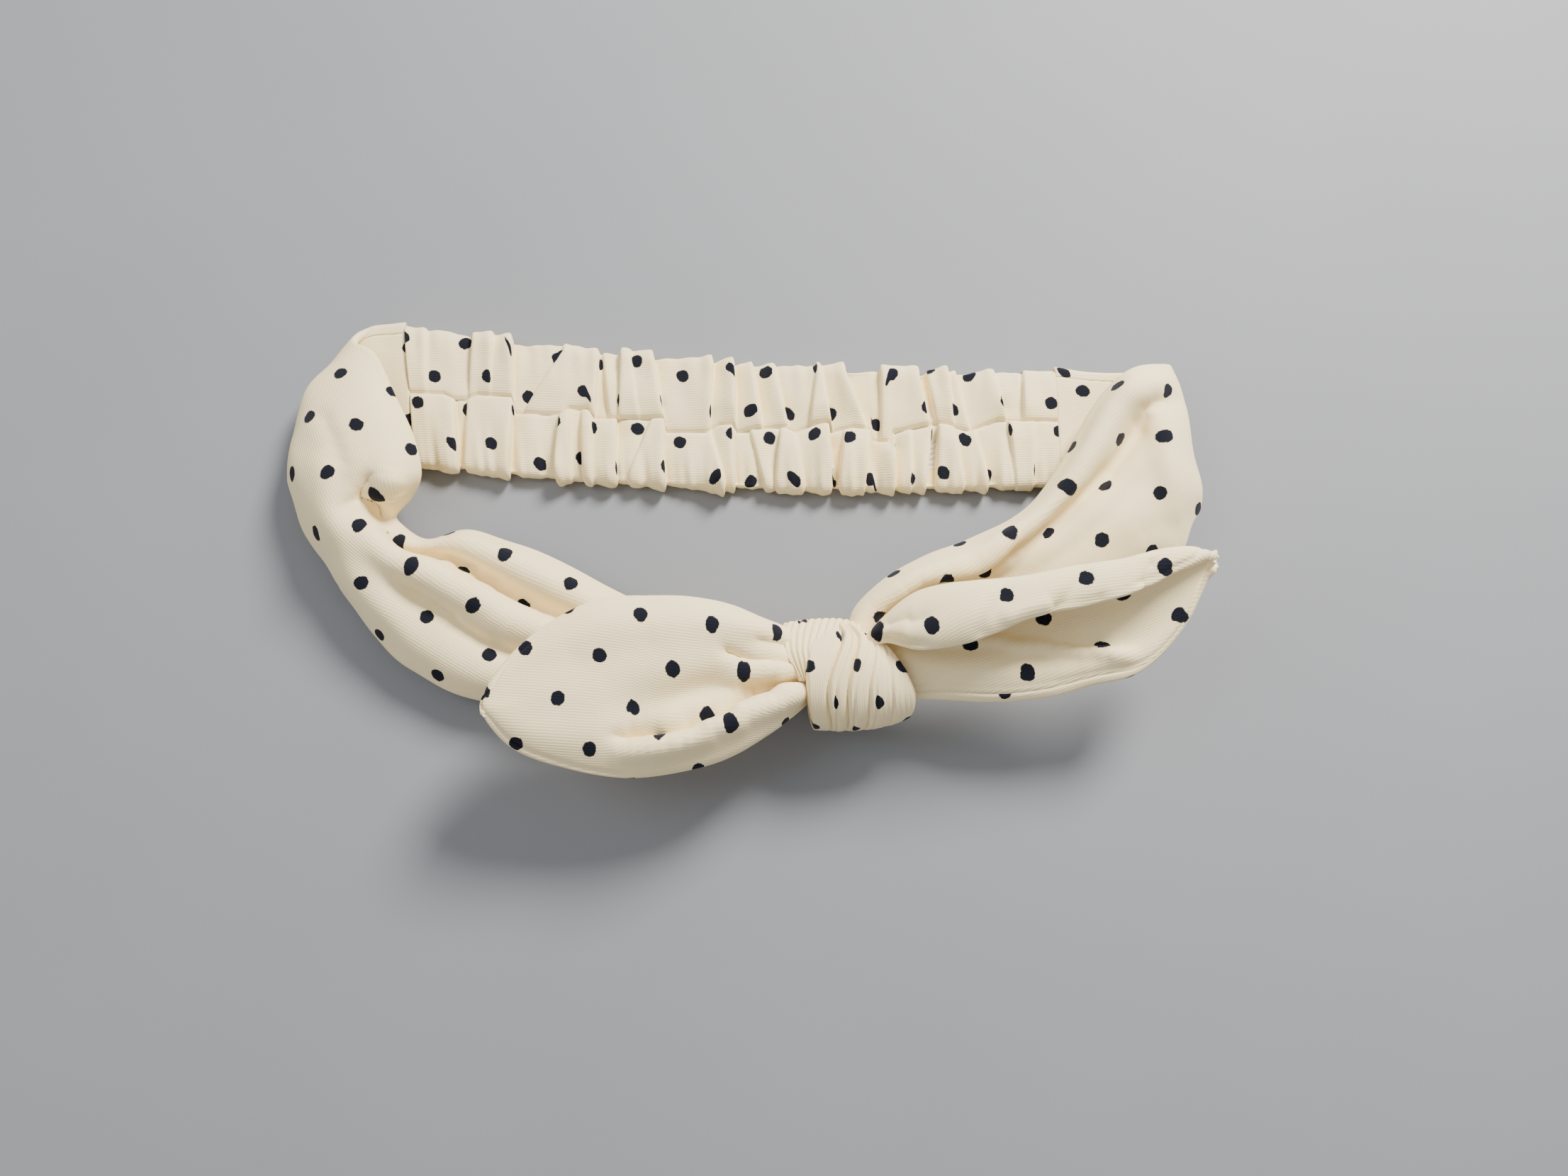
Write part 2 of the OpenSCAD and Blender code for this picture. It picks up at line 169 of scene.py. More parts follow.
def dot_mask(tree, cloth):
    """1 inside a dot. cloth is the place on the cloth in millimetres."""
    wobble = add(tree, "ShaderNodeTexNoise", Vector=cloth, Scale=0.55, Detail=2.0)
    shift = add(tree, "ShaderNodeVectorMath", {"operation": "MULTIPLY_ADD"},
                _0=wobble.outputs["Color"], _1=(0.9, 0.9, 0), _2=cloth)
    nearest = None
    for place in ((0, 0, 0), (DOT_PITCH / 2, DOT_ROW, 0)):
        moved = add(tree, "ShaderNodeVectorMath", {"operation": "ADD"}, _0=shift.outputs[0],
                    _1=place)
        cell = add(tree, "ShaderNodeVectorMath", {"operation": "DIVIDE"}, _0=moved.outputs[0],
                   _1=(DOT_PITCH, 2 * DOT_ROW, 1))
        part = add(tree, "ShaderNodeVectorMath", {"operation": "FRACTION"}, _0=cell.outputs[0])
        middle = add(tree, "ShaderNodeVectorMath", {"operation": "SUBTRACT"}, _0=part.outputs[0],
                     _1=(0.5, 0.5, 0))
        back = add(tree, "ShaderNodeVectorMath", {"operation": "MULTIPLY"}, _0=middle.outputs[0],
                   _1=(DOT_PITCH, 2 * DOT_ROW, 0))
        away = add(tree, "ShaderNodeVectorMath", {"operation": "LENGTH"}, _0=back.outputs[0])
        distance = away.outputs["Value"]
        if nearest is None:
            nearest = distance
        else:
            nearest = add(tree, "ShaderNodeMath", {"operation": "MINIMUM"}, _0=nearest,
                          _1=distance).outputs[0]
    fray = add(tree, "ShaderNodeTexNoise", Vector=cloth, Scale=3.2, Detail=3.0)
    edge = add(tree, "ShaderNodeMath", {"operation": "MULTIPLY_ADD"}, _0=fray.outputs["Fac"],
               _1=0.5, _2=nearest)
    inside = add(tree, "ShaderNodeMapRange", {"interpolation_type": "SMOOTHSTEP"},
                 Value=edge.outputs[0], From_Min=DOT_RADIUS + 0.38, From_Max=DOT_RADIUS + 0.12,
                 To_Min=0.0, To_Max=1.0)
    return inside.outputs[0]


def cotton_jersey():
    """Cotton interlock jersey, dyed cream and printed with navy dots. Matt, with a soft
    bloom at the edges, fine ribs along the cloth and a slightly uneven tone."""
    material, tree, shader = new_material("cotton_jersey_print")
    cloth = add(tree, "ShaderNodeUVMap", {"uv_map": "cloth"}).outputs[0]
    tone = add(tree, "ShaderNodeTexNoise", Vector=cloth, Scale=0.09, Detail=4.0, Roughness=0.6)
    base = add(tree, "ShaderNodeMix", {"data_type": "RGBA"}, Factor=tone.outputs["Fac"],
               _6=linear("#FAE3AC"), _7=linear("#FBE9BE"))
    rib = rib_wave(tree, cloth, RIB_PITCH)
    rib_shade = add(tree, "ShaderNodeMapRange", Value=rib, From_Min=-1.0, From_Max=1.0, To_Min=0.0,
                    To_Max=0.06)
    ribbed = add(tree, "ShaderNodeMix", {"data_type": "RGBA", "blend_type": "MULTIPLY"},
                 Factor=rib_shade.outputs[0], _6=base.outputs[2], _7=linear("#B5A06C"))
    # The print is a little worn, so that cream fibres show through the navy
    fibre = add(tree, "ShaderNodeTexNoise", Vector=cloth, Scale=2.6, Detail=5.0, Roughness=0.7)
    worn = add(tree, "ShaderNodeMapRange", Value=fibre.outputs["Fac"], From_Min=0.4, From_Max=0.75,
               To_Min=0.0, To_Max=0.22)
    navy = add(tree, "ShaderNodeMix", {"data_type": "RGBA"}, Factor=worn.outputs[0],
               _6=linear("#040714"), _7=linear("#161D34"))
    colour = add(tree, "ShaderNodeMix", {"data_type": "RGBA"}, Factor=dot_mask(tree, cloth),
                 _6=ribbed.outputs[2], _7=navy.outputs[2])
    tree.links.new(colour.outputs[2], shader.inputs["Base Color"])
    fuzz = add(tree, "ShaderNodeTexNoise", Vector=cloth, Scale=1.9, Detail=6.0, Roughness=0.75)
    height = add(tree, "ShaderNodeMath", {"operation": "MULTIPLY_ADD"}, _0=rib, _1=0.35,
                 _2=fuzz.outputs["Fac"])
    bump = add(tree, "ShaderNodeBump", Height=height.outputs[0], Strength=0.35, Distance=0.0002)
    tree.links.new(bump.outputs[0], shader.inputs["Normal"])
    shader.inputs["Roughness"].default_value = 0.92
    shader.inputs["IOR"].default_value = 1.45
    shader.inputs["Sheen Weight"].default_value = 0.06
    shader.inputs["Sheen Roughness"].default_value = 0.5
    shader.inputs["Subsurface Weight"].default_value = 0.08
    shader.inputs["Specular IOR Level"].default_value = 0.3
    shader.inputs["Subsurface Radius"].default_value = (1.0, 0.85, 0.6)
    shader.inputs["Subsurface Scale"].default_value = 0.0012
    return material


def sewing_thread():
    """Spun polyester sewing thread: matt, with a ply that catches a little light."""
    material, tree, shader = new_material("spun_thread")
    place = add(tree, "ShaderNodeTexCoord").outputs["Object"]
    ply = add(tree, "ShaderNodeTexWave", {"bands_direction": "DIAGONAL"}, Vector=place, Scale=900.0,
              Distortion=1.0)
    tint = add(tree, "ShaderNodeMix", {"data_type": "RGBA"}, Factor=ply.outputs["Fac"],
               _6=linear("#D8CBB2"), _7=linear("#E8DFCC"))
    tree.links.new(tint.outputs[2], shader.inputs["Base Color"])
    bump = add(tree, "ShaderNodeBump", Height=ply.outputs["Fac"], Strength=0.3, Distance=0.00008)
    tree.links.new(bump.outputs[0], shader.inputs["Normal"])
    shader.inputs["Roughness"].default_value = 0.7
    return material


def knitted_elastic():
    """Knitted elastic: white and matt, with raised lengthwise ribs that shade their grooves."""
    material, tree, shader = new_material("knitted_elastic")
    cloth = add(tree, "ShaderNodeUVMap", {"uv_map": "cloth"}).outputs[0]
    rib = rib_wave(tree, cloth, ELASTIC_RIB)
    shade = add(tree, "ShaderNodeMapRange", Value=rib, From_Min=-1.0, From_Max=1.0)
    tint = add(tree, "ShaderNodeMix", {"data_type": "RGBA"}, Factor=shade.outputs[0],
               _6=linear("#CFCFC8"), _7=linear("#F2F2EE"))
    tree.links.new(tint.outputs[2], shader.inputs["Base Color"])
    bump = add(tree, "ShaderNodeBump", Height=rib, Strength=0.6, Distance=0.0003)
    tree.links.new(bump.outputs[0], shader.inputs["Normal"])
    shader.inputs["Roughness"].default_value = 0.8
    return material


def studio_floor():
    """Matt painted board: pale grey, with a faint mottle."""
    material, tree, shader = new_material("painted_board")
    place = add(tree, "ShaderNodeTexCoord").outputs["Object"]
    mottle = add(tree, "ShaderNodeTexNoise", Vector=place, Scale=14.0, Detail=3.0)
    tint = add(tree, "ShaderNodeMix", {"data_type": "RGBA"}, Factor=mottle.outputs["Fac"],
               _6=linear("#808285"), _7=linear("#86888C"))
    tree.links.new(tint.outputs[2], shader.inputs["Base Color"])
    shader.inputs["Roughness"].default_value = 0.7
    return material


# ---------------------------------------------------------------- cloth surfaces

# Rows of seven points across each strap and ear, as x, y and z. A strap starts at the casing and an
# ear at the knot. They follow the CAD model, with softer turned corners.
LEFT_STRAP = [
    [(-102, 68, 3), (-101, 60, 3), (-100, 53, 3), (-99, 46, 3), (-98, 38, 3), (-97, 31, 3), (-96, 24, 3)],
    [(-112, 67, 4), (-113, 62, 3), (-114, 54, 3), (-114, 47, 3), (-114, 39, 3), (-113, 31, 3), (-112, 23, 3)],
    [(-114, 60, 9), (-119, 57, 6), (-122, 52, 4), (-123, 45, 4), (-123, 38, 3), (-122, 30, 3), (-121, 23, 3)],
    [(-107, 55, 12), (-115, 50, 13), (-125, 45, 11), (-128, 39, 9), (-129, 33, 6), (-129, 27, 4), (-129, 21, 4)],
    [(-101, 43, 13), (-106, 39, 18), (-114, 34, 19), (-121, 32, 17), (-127, 29, 12), (-129, 24, 10), (-130, 19, 7)],
    [(-95, 31, 14), (-100, 27, 20), (-107, 24, 21), (-114, 22, 20), (-119, 20, 19), (-124, 16, 15), (-128, 13, 7)],
    [(-92, 20, 13), (-96, 17, 20), (-103, 16, 21), (-109, 14, 20), (-115, 11, 20), (-121, 8, 15), (-126, 6, 6)],
    [(-96, 15, 7), (-98, 12, 14), (-104, 11, 17), (-110, 9, 18), (-113, 5, 20), (-118, 2, 15), (-122, 0, 6)],
    [(-101, 9, 5), (-102, 6, 10), (-105, 7, 13), (-105, 3, 18), (-109, -1, 19), (-113, -4, 15), (-118, -5, 6)],
    [(-92, 2, 5), (-93, 0, 11), (-97, -1, 11), (-97, -5, 18), (-102, -8, 17), (-107, -13, 15), (-112, -14, 5)],
    [(-79, 4, 7), (-79, -1, 14), (-85, -5, 12), (-87, -10, 19), (-93, -15, 15), (-98, -21, 15), (-103, -25, 6)],
    [(-63, -1, 9), (-64, -8, 15), (-71, -11, 12), (-76, -16, 18), (-82, -22, 14), (-87, -30, 14), (-93, -34, 7)],
    [(-45, -9, 9), (-48, -15, 14), (-54, -19, 12), (-60, -24, 16), (-65, -31, 13), (-69, -38, 13), (-73, -43, 7)],
    [(-20, -22, 6), (-20, -26, 13), (-22, -29, 10), (-24, -32, 14), (-26, -36, 11), (-28, -40, 13), (-30, -44, 6)],
    [(11, -31, 7), (11, -33, 12), (11, -35, 10), (10, -37, 13), (10, -39, 10), (10, -41, 11), (10, -43, 7)],
]
RIGHT_STRAP = [
    [(87, 54, 3), (87, 48, 3), (87, 42, 3), (87, 36, 3), (87, 30, 3), (87, 24, 3), (87, 18, 3)],
    [(99, 53, 3), (99, 47, 3), (99, 41, 3), (100, 35, 3), (100, 29, 3), (100, 23, 3), (100, 17, 3)],
    [(111, 53, 4), (112, 47, 4), (112, 41, 4), (112, 34, 4), (112, 28, 4), (112, 21, 4), (113, 15, 4)],
    [(118, 53, 9), (120, 46, 10), (121, 40, 10), (122, 32, 10), (123, 24, 10), (124, 17, 9), (124, 12, 6)],
    [(106, 49, 16), (107, 42, 20), (111, 37, 17), (114, 29, 18), (115, 20, 18), (118, 12, 15), (121, 5, 9)],
    [(98, 42, 13), (100, 36, 20), (106, 31, 15), (107, 22, 17), (109, 13, 17), (112, 4, 15), (117, -4, 8)],
    [(90, 29, 12), (92, 23, 20), (98, 20, 15), (97, 11, 17), (98, 3, 17), (101, -5, 14), (106, -11, 7)],
    [(82, 16, 12), (84, 12, 20), (88, 10, 15), (87, 3, 16), (87, -5, 15), (89, -12, 13), (92, -18, 7)],
    [(73, 7, 11), (74, 3, 20), (76, -1, 14), (75, -6, 13), (75, -11, 12), (76, -16, 10), (78, -21, 5)],
    [(60, 1, 11), (60, -5, 20), (61, -9, 17), (63, -10, 9), (64, -14, 9), (64, -18, 8), (65, -22, 4)],
    [(46, -5, 11), (46, -10, 20), (48, -13, 18), (50, -14, 10), (51, -18, 9), (51, -22, 8), (51, -26, 5)],
    [(35, -12, 13), (36, -16, 19), (39, -19, 17), (41, -21, 11), (43, -24, 10), (45, -28, 9), (47, -31, 7)],
    [(28, -19, 14), (30, -21, 18), (33, -23, 17), (36, -24, 11), (40, -27, 10), (43, -30, 9), (47, -33, 8)],
]
LEFT_EAR = [
    [(11, -26, 19), (11, -29, 22), (11, -32, 22), (11, -36, 25), (11, -40, 22), (11, -44, 25), (11, -48, 19)],
    [(2, -23, 24), (2, -27, 29), (2, -31, 27), (1, -36, 28), (1, -41, 25), (2, -48, 29), (4, -54, 22)],
    [(-9, -19, 27), (-9, -25, 32), (-9, -31, 31), (-10, -37, 30), (-12, -43, 26), (-10, -52, 31), (-8, -61, 24)],
    [(-25, -18, 29), (-24, -25, 33), (-25, -32, 33), (-25, -39, 32), (-26, -47, 29), (-26, -56, 31), (-25, -65, 25)],
    [(-39, -20, 31), (-38, -26, 34), (-38, -33, 34), (-38, -40, 33), (-38, -48, 32), (-38, -56, 31), (-38, -64, 26)],
    [(-51, -26, 32), (-50, -31, 34), (-50, -37, 34), (-50, -43, 34), (-50, -49, 33), (-50, -55, 32), (-51, -61, 28)],
    [(-59, -33, 33), (-59, -37, 34), (-58, -41, 34), (-58, -45, 34), (-59, -49, 34), (-59, -53, 33), (-60, -57, 30)],
    [(-64, -40, 33), (-64, -42, 34), (-64, -44, 34), (-65, -46, 34), (-65, -48, 34), (-65, -50, 33), (-65, -52, 32)],
    [(-66, -44, 33), (-66, -45, 33), (-66, -46, 33), (-66, -47, 33), (-66, -48, 33), (-66, -49, 33), (-66, -50, 33)],
]
RIGHT_EAR = [
    [(35, -30, 26), (34, -28, 28), (34, -25, 26), (36, -26, 20), (39, -31, 20), (41, -37, 21), (42, -43, 17)],
    [(44, -33, 31), (42, -28, 33), (43, -18, 30), (46, -20, 21), (48, -29, 20), (49, -37, 21), (50, -44, 17)],
    [(58, -31, 34), (56, -25, 37), (57, -16, 34), (60, -19, 24), (62, -29, 21), (63, -38, 23), (63, -45, 19)],
    [(70, -26, 36), (69, -21, 38), (69, -15, 35), (74, -18, 25), (77, -30, 22), (76, -38, 24), (77, -44, 21)],
    [(84, -23, 37), (82, -18, 39), (81, -13, 36), (87, -19, 27), (90, -30, 24), (89, -36, 26), (88, -41, 23)],
    [(98, -19, 37), (96, -15, 39), (94, -11, 37), (99, -18, 30), (103, -27, 27), (102, -33, 27), (100, -38, 25)],
    [(107, -14, 36), (105, -12, 38), (103, -9, 37), (108, -15, 32), (111, -20, 30), (111, -24, 30), (110, -28, 28)],
    [(114, -11, 35), (113, -10, 37), (112, -8, 36), (115, -11, 34), (116, -13, 33), (116, -15, 33), (116, -17, 32)],
    [(118, -8, 36), (118, -9, 36), (118, -10, 36), (118, -11, 35), (118, -12, 35), (118, -13, 35), (118, -14, 34)],
]


def curve_through(points, at):
    """Smooth curve through points (along the first axis), read at the given places."""
    points = np.asarray(points, float)
    ends = np.concatenate([[2 * points[0] - points[1]], points, [2 * points[-1] - points[-2]]])
    i = np.clip(np.floor(at).astype(int), 0, len(points) - 2)
    f = (at - i).reshape(-1, *[1] * (points.ndim - 1))
    a, b, c, d = ends[i], ends[i + 1], ends[i + 2], ends[i + 3]
    cubic = (3 * b - 3 * c + d - a) * f ** 3
    return 0.5 * (2 * b + (c - a) * f + (2 * a - 5 * b + 4 * c - d) * f ** 2 + cubic)


def refined(grid, along, across):
    """A smooth grid with `along` steps for each row and `across` steps for each column."""
    rows = curve_through(grid, np.linspace(0, len(grid) - 1, (len(grid) - 1) * along + 1))
    turned = np.swapaxes(rows, 0, 1)
    columns = curve_through(turned, np.linspace(0, len(turned) - 1, (len(turned) - 1) * across + 1))
    return np.swapaxes(columns, 0, 1)


def lengths(points, axis):
    """Distance along an axis of a grid, from its start."""
    steps = np.linalg.norm(np.diff(points, axis=axis), axis=-1)
    zero = np.zeros_like(np.take(steps, [0], axis))
    return np.cumsum(np.concatenate([zero, steps], axis), axis)


def unit(v):
    """Vectors scaled to length 1."""
    return v / np.maximum(np.linalg.norm(v, axis=-1, keepdims=True), 1e-9)


def normals(grid, sign=1):
    """Unit normals of a grid at its points. sign turns them over."""
    return unit(np.cross(np.gradient(grid, axis=0), np.gradient(grid, axis=1))) * sign


def settled(grid, rounds):
    """Evens out a grid, its ends kept and its edges only along themselves, as cloth rounds off what
    is sharper than it can bend."""
    grid = grid.copy()
    for _ in range(rounds):
        beside = grid[:-2, 1:-1] + grid[2:, 1:-1] + grid[1:-1, :-2] + grid[1:-1, 2:]
        edge = (grid[:-2, [0, -1]] + grid[2:, [0, -1]]) / 2
        inner = grid[1:-1, 1:-1]
        grid[1:-1, 1:-1] = inner + 0.5 * (beside / 4 - inner)
        grid[1:-1, [0, -1]] += 0.5 * (edge - grid[1:-1, [0, -1]])
    return grid


def ripples(points, seed, size, stretch=(1, 1, 1)):
    """Smooth uneven heights from -1 to 1 with features of about `size` millimetres."""
    draw = np.random.default_rng(seed)
    total = np.zeros(points.shape[:-1])
    waves = 14
    for _ in range(waves):
        way = unit(draw.normal(size=3)) / np.array(stretch)
        wave = size * draw.uniform(0.7, 1.6)
        total += np.sin(points @ way * 2 * math.pi / wave + draw.uniform(0, 6.3))
    return total / math.sqrt(waves)


def pressed(grid, sign, steps, creases):
    """Presses creases into a grid, or raises folds. A crease is its path as (row, column) places in
    the table of points, its depth in millimetres, which is negative for a raised fold, its width,
    and how far it leans towards the first column."""
    along, across = steps
    for path, depth, width, lean in creases:
        line = curve_through(np.array(path, float), np.linspace(0, len(path) - 1, 60))
        i = np.clip(line[:, 0] * along, 0, grid.shape[0] - 1)
        j = np.clip(line[:, 1] * across, 0, grid.shape[1] - 1)
        track = grid[np.round(i).astype(int), np.round(j).astype(int)]
        away = np.linalg.norm(grid[:, :, None] - track[None, None], axis=-1)
        nearest = away.min(-1)
        share = away.argmin(-1) / (len(line) - 1)
        fade = np.clip(np.minimum(share, 1 - share) * 5 + 0.08, 0, 1)
        share = (fade * np.exp(-(nearest / width) ** 2))[..., None]
        aside = -unit(np.gradient(grid, axis=1))
        grid = grid - normals(grid, sign) * depth * share + aside * lean * share
    return grid


def cloth_sheet(rows, sign, inset, creases=(), along=18, across=9, rounds=8, seed=1):
    """The dense middle surface of a cloth tube from its rows of points, in millimetres.
    inset is how far it stays inside the outline, which leaves room for the rounded edge."""
    grid = settled(refined(np.array(rows, float) + CENTRING, along, across), rounds)
    grid = pressed(grid, sign, (along, across), creases)
    out = np.empty_like(grid)
    for i, row in enumerate(grid):
        run = lengths(row[None], 1)[0]
        keep = min(inset, run[-1] * 0.3)
        wanted = np.linspace(keep, run[-1] - keep, len(row))
        out[i] = np.stack([np.interp(wanted, run, row[:, k]) for k in range(3)], -1)
    out = settled(out, 2)
    small = ripples(out, seed, 17, (1, 1, 1)) * 0.22
    return out + normals(out, sign) * small[..., None]


def flattened(grid):
    """Lays a sheet flat without stretching it, and gives each point's place on the cloth."""
    rows = np.unique(np.round(np.linspace(0, grid.shape[0] - 1, 60)).astype(int))
    columns = np.unique(np.round(np.linspace(0, grid.shape[1] - 1, 22)).astype(int))
    coarse = grid[rows][:, columns]
    middle = coarse.shape[1] // 2
    along = lengths(coarse, 0)
    across = lengths(coarse, 1)
    flat = np.stack([along[:, [middle]] + 0 * across, across - across[:, [middle]]], -1)
    pairs = []
    for di, dj in ((1, 0), (0, 1), (1, 1), (1, -1), (2, 0), (0, 2)):
        n, m = coarse.shape[:2]
        a = (slice(0, n - di), slice(max(0, -dj), m - max(0, dj)))
        b = (slice(di, n), slice(max(0, dj), m + min(0, dj)))
        pairs.append((a, b, np.linalg.norm(coarse[b] - coarse[a], axis=-1)))
    for _ in range(1500):
        push = np.zeros_like(flat)
        for a, b, wanted in pairs:
            gap = flat[b] - flat[a]
            size = np.maximum(np.linalg.norm(gap, axis=-1), 1e-9)
            fix = gap * ((size - wanted) / size)[..., None] * 0.5
            push[a] += fix
            push[b] -= fix
        flat += push * 0.16
    place = np.swapaxes(np.stack([
        np.stack([np.interp(np.arange(grid.shape[1]), columns, row[:, k]) for k in range(2)], -1)
        for row in flat]), 0, 1)
    full = np.stack([
        np.stack([np.interp(np.arange(grid.shape[0]), rows, column[:, k]) for k in range(2)], -1)
        for column in place])
    full = np.swapaxes(full, 0, 1)
    middle = grid.shape[1] // 2
    way = unit(full[-1, middle] - full[0, middle])
    turn = np.array([[way[0], -way[1]], [way[1], way[0]]])
    return (full - full[0, middle]) @ turn


def make_mesh(name, points, faces, uvs=None, material=None):
    """A piece from points in millimetres. uvs has one place on the cloth per point."""
    data = bpy.data.meshes.new(name)
    data.from_pydata((np.asarray(points) * MM).tolist(), [], [tuple(map(int, f)) for f in faces])
    if uvs is not None:
        layer = data.uv_layers.new(name="cloth")
        loop = np.empty(len(data.loops), np.int32)
        data.loops.foreach_get("vertex_index", loop)
        layer.data.foreach_set("uv", np.asarray(uvs, float)[loop].ravel())
    data.polygons.foreach_set("use_smooth", [True] * len(data.polygons))
    data.update()
    if material:
        data.materials.append(material)
    return placed(name, data)


def grid_faces(n, m, closed=False):
    """Faces of a grid of n rows and m columns. closed joins the last column to the first."""
    i, j = np.meshgrid(np.arange(n - 1), np.arange(m if closed else m - 1), indexing="ij")
    i, j = i.ravel(), j.ravel()
    k, l = (i + 1) % n, (j + 1) % m
    return np.stack([i * m + j, k * m + j, k * m + l, i * m + l], -1)


def shell(name, grid, uv, thick, out, material, closed=False):
    """A layer of cloth with its outer face on the grid. out is the grid's outward normals.
    closed joins the last column to the first."""
    n, m = grid.shape[:2]
    face = grid.reshape(-1, 3)
    points = np.concatenate([face, (grid - out * thick).reshape(-1, 3)])
    uvs = np.concatenate([uv.reshape(-1, 2)] * 2)
    over = grid_faces(n, m, closed)
    turn = np.cross(face[over[:, 1]] - face[over[:, 0]], face[over[:, 3]] - face[over[:, 0]])
    flip = (turn * out.reshape(-1, 3)[over[:, 0]]).sum() < 0
    size = n * m
    first = np.arange(m if closed else m - 1)
    beside = (first + 1) % m
    last = (n - 1) * m
    rims = [np.stack([first, beside, beside + size, first + size], -1),
            np.stack([last + beside, last + first, last + first + size, last + beside + size], -1)]
    if not closed:
        left = np.arange(n - 1) * m
        right = left + m - 1
        rims.append(np.stack([left + m, left, left + size, left + m + size], -1))
        rims.append(np.stack([right, right + m, right + m + size, right + size], -1))
    faces = np.concatenate([over, over[:, ::-1] + size, *rims])
    if flip:
        faces = faces[:, ::-1]
    return make_mesh(name, points, faces, uvs, material)


# Steps round a cloth tube's edge
ARC = 6


def tube_halves(mid, sign, half, tuck, tip=False):
    """The outer and the lining side of a flattened cloth tube around a middle surface, each as
    its points, the middle points under them and their places on the cloth. half is half the
    tube's thickness, and tuck is the number of columns that the outer goes under the edge."""
    up = normals(mid, sign)
    n, m = mid.shape[:2]
    h = np.broadcast_to(np.asarray(half, float), n)[:, None]
    flat = flattened(mid)
    (low_edge, high_edge), (low_flat, high_flat) = (
        (unit(g[:, 0] - g[:, 1]), unit(g[:, -1] - g[:, -2])) for g in (mid, flat))
    grid, base, place = [], [], []

    def put(column, offset, spot):
        base.append(mid[:, column])
        grid.append(mid[:, column] + offset)
        place.append(spot)

    run = lengths(mid, 1)
    turn = math.pi * h
    for j in range(tuck, 0, -1):
        put(j, -up[:, j] * h, flat[:, 0] + low_flat * (run[:, [j]] + turn))
    for k in range(ARC + 1):
        angle = math.pi * (1 - k / ARC)
        put(0, low_edge * h * math.sin(angle) + up[:, 0] * h * math.cos(angle),
            flat[:, 0] + low_flat * angle * h)
    for j in range(1, m - 1):
        put(j, up[:, j] * h, flat[:, j])
    for k in range(ARC + 1):
        angle = math.pi * k / ARC
        put(m - 1, high_edge * h * math.sin(angle) + up[:, -1] * h * math.cos(angle),
            flat[:, -1] + high_flat * angle * h)
    for j in range(m - 2, m - 2 - tuck, -1):
        put(j, -up[:, j] * h, flat[:, -1] + high_flat * (run[:, [-1]] - run[:, [j]] + turn))
    outer = [np.stack(grid, 1), np.stack(base, 1), np.stack(place, 1)]
    keep = slice(tuck, m - tuck)
    lining = [(mid - up * h[..., None])[:, keep], mid[:, keep], flat[:, keep] * (1, -1)]
    if tip:
        way = unit(mid[-1] - mid[-2]).mean(0)
        for part in (outer, lining):
            last, under, spot = part[0][-1], part[1][-1], part[2][-1]
            for k in range(1, ARC):
                angle = math.pi / 2 * k / (ARC - 1)
                row = under + (last - under) * math.cos(angle) + way * h[-1, 0] * math.sin(angle)
                part[0] = np.concatenate([part[0], row[None]])
                part[1] = np.concatenate([part[1], under[None]])
                part[2] = np.concatenate([part[2], (spot + (angle * h[-1, 0], 0))[None]])
    return outer, lining


def outward(grid, base):
    """Unit normals of a grid, on the side away from its base."""
    n = normals(grid)
    return n if (n * (grid - base)).sum() > 0 else -n


def outward_round(grid, base):
    """The same for a grid whose last column meets its first."""
    n = normals(np.concatenate([grid[:, -1:], grid, grid[:, :1]], 1))[:, 1:-1]
    return n if (n * (grid - base)).sum() > 0 else -n


def groove(part, at, depth):
    """Sinks a seam line into a face, at a distance from both long edges and the tip."""
    grid, base, _ = part
    out = unit(grid - base)
    run = lengths(base, 1)
    near = np.minimum(run, run[:, -1:] - run)
    dip = depth * np.exp(-((near - at) / 0.5) ** 2)
    fade = np.clip(run[:, -1:] / (4 * at) - 0.6, 0, 1)
    part[0] = grid - out * (dip * fade)[..., None]


def cloth_pair(tube, outer, lining, cloth):
    """The outer and the lining of a cloth tube, with the tube's entry in the print table."""
    along, across, degrees, *ease = PRINT[tube]
    angle = math.radians(degrees)
    turn = np.array([[math.cos(angle), math.sin(angle)], [-math.sin(angle), math.cos(angle)]])
    return [shell(f"{tube}_{layer}_cloth", grid, place @ turn * ease + (along, across), KNIT,
                  outward(grid, base), cloth)
            for layer, (grid, base, place) in (("outer", outer), ("lining", lining))]


def tucked(row, toward, share):
    """One more row of points, part of the way from a row to a point inside the knot."""
    return [tuple(np.array(p) + (np.array(toward) - p) * share) for p in row]


# ---------------------------------------------------------------- straps and ears

KNIT = 0.6  # thickness of one layer
STRAP_HALF = 1.1  # half the thickness of the flattened tube
EAR_HALF = 1.0
JOIN_SWELL, JOIN_REACH = 0.7, 6  # the strap is thicker by this much where it takes in the casing
SEAM_IN = 2.4  # from a tube's edge to its seam
LINING_SEAM_IN = 1.2
SEAM_DIP = 0.5
STRAP_STITCH_RISE = 0.1  # above the cloth's face
EAR_STITCH_RISE = -0.58  # in the groove
EAR_SEAM_START, EAR_SEAM_SHORT = 20, 9  # rows without stitches, at the knot and at the tip
KNOT_HEART = (24, -36, 16)  # where the straps and ears meet inside the knot
STRAP_TUCK, EAR_TUCK = 0.35, 0.45  # share of the way there that their hidden ends go

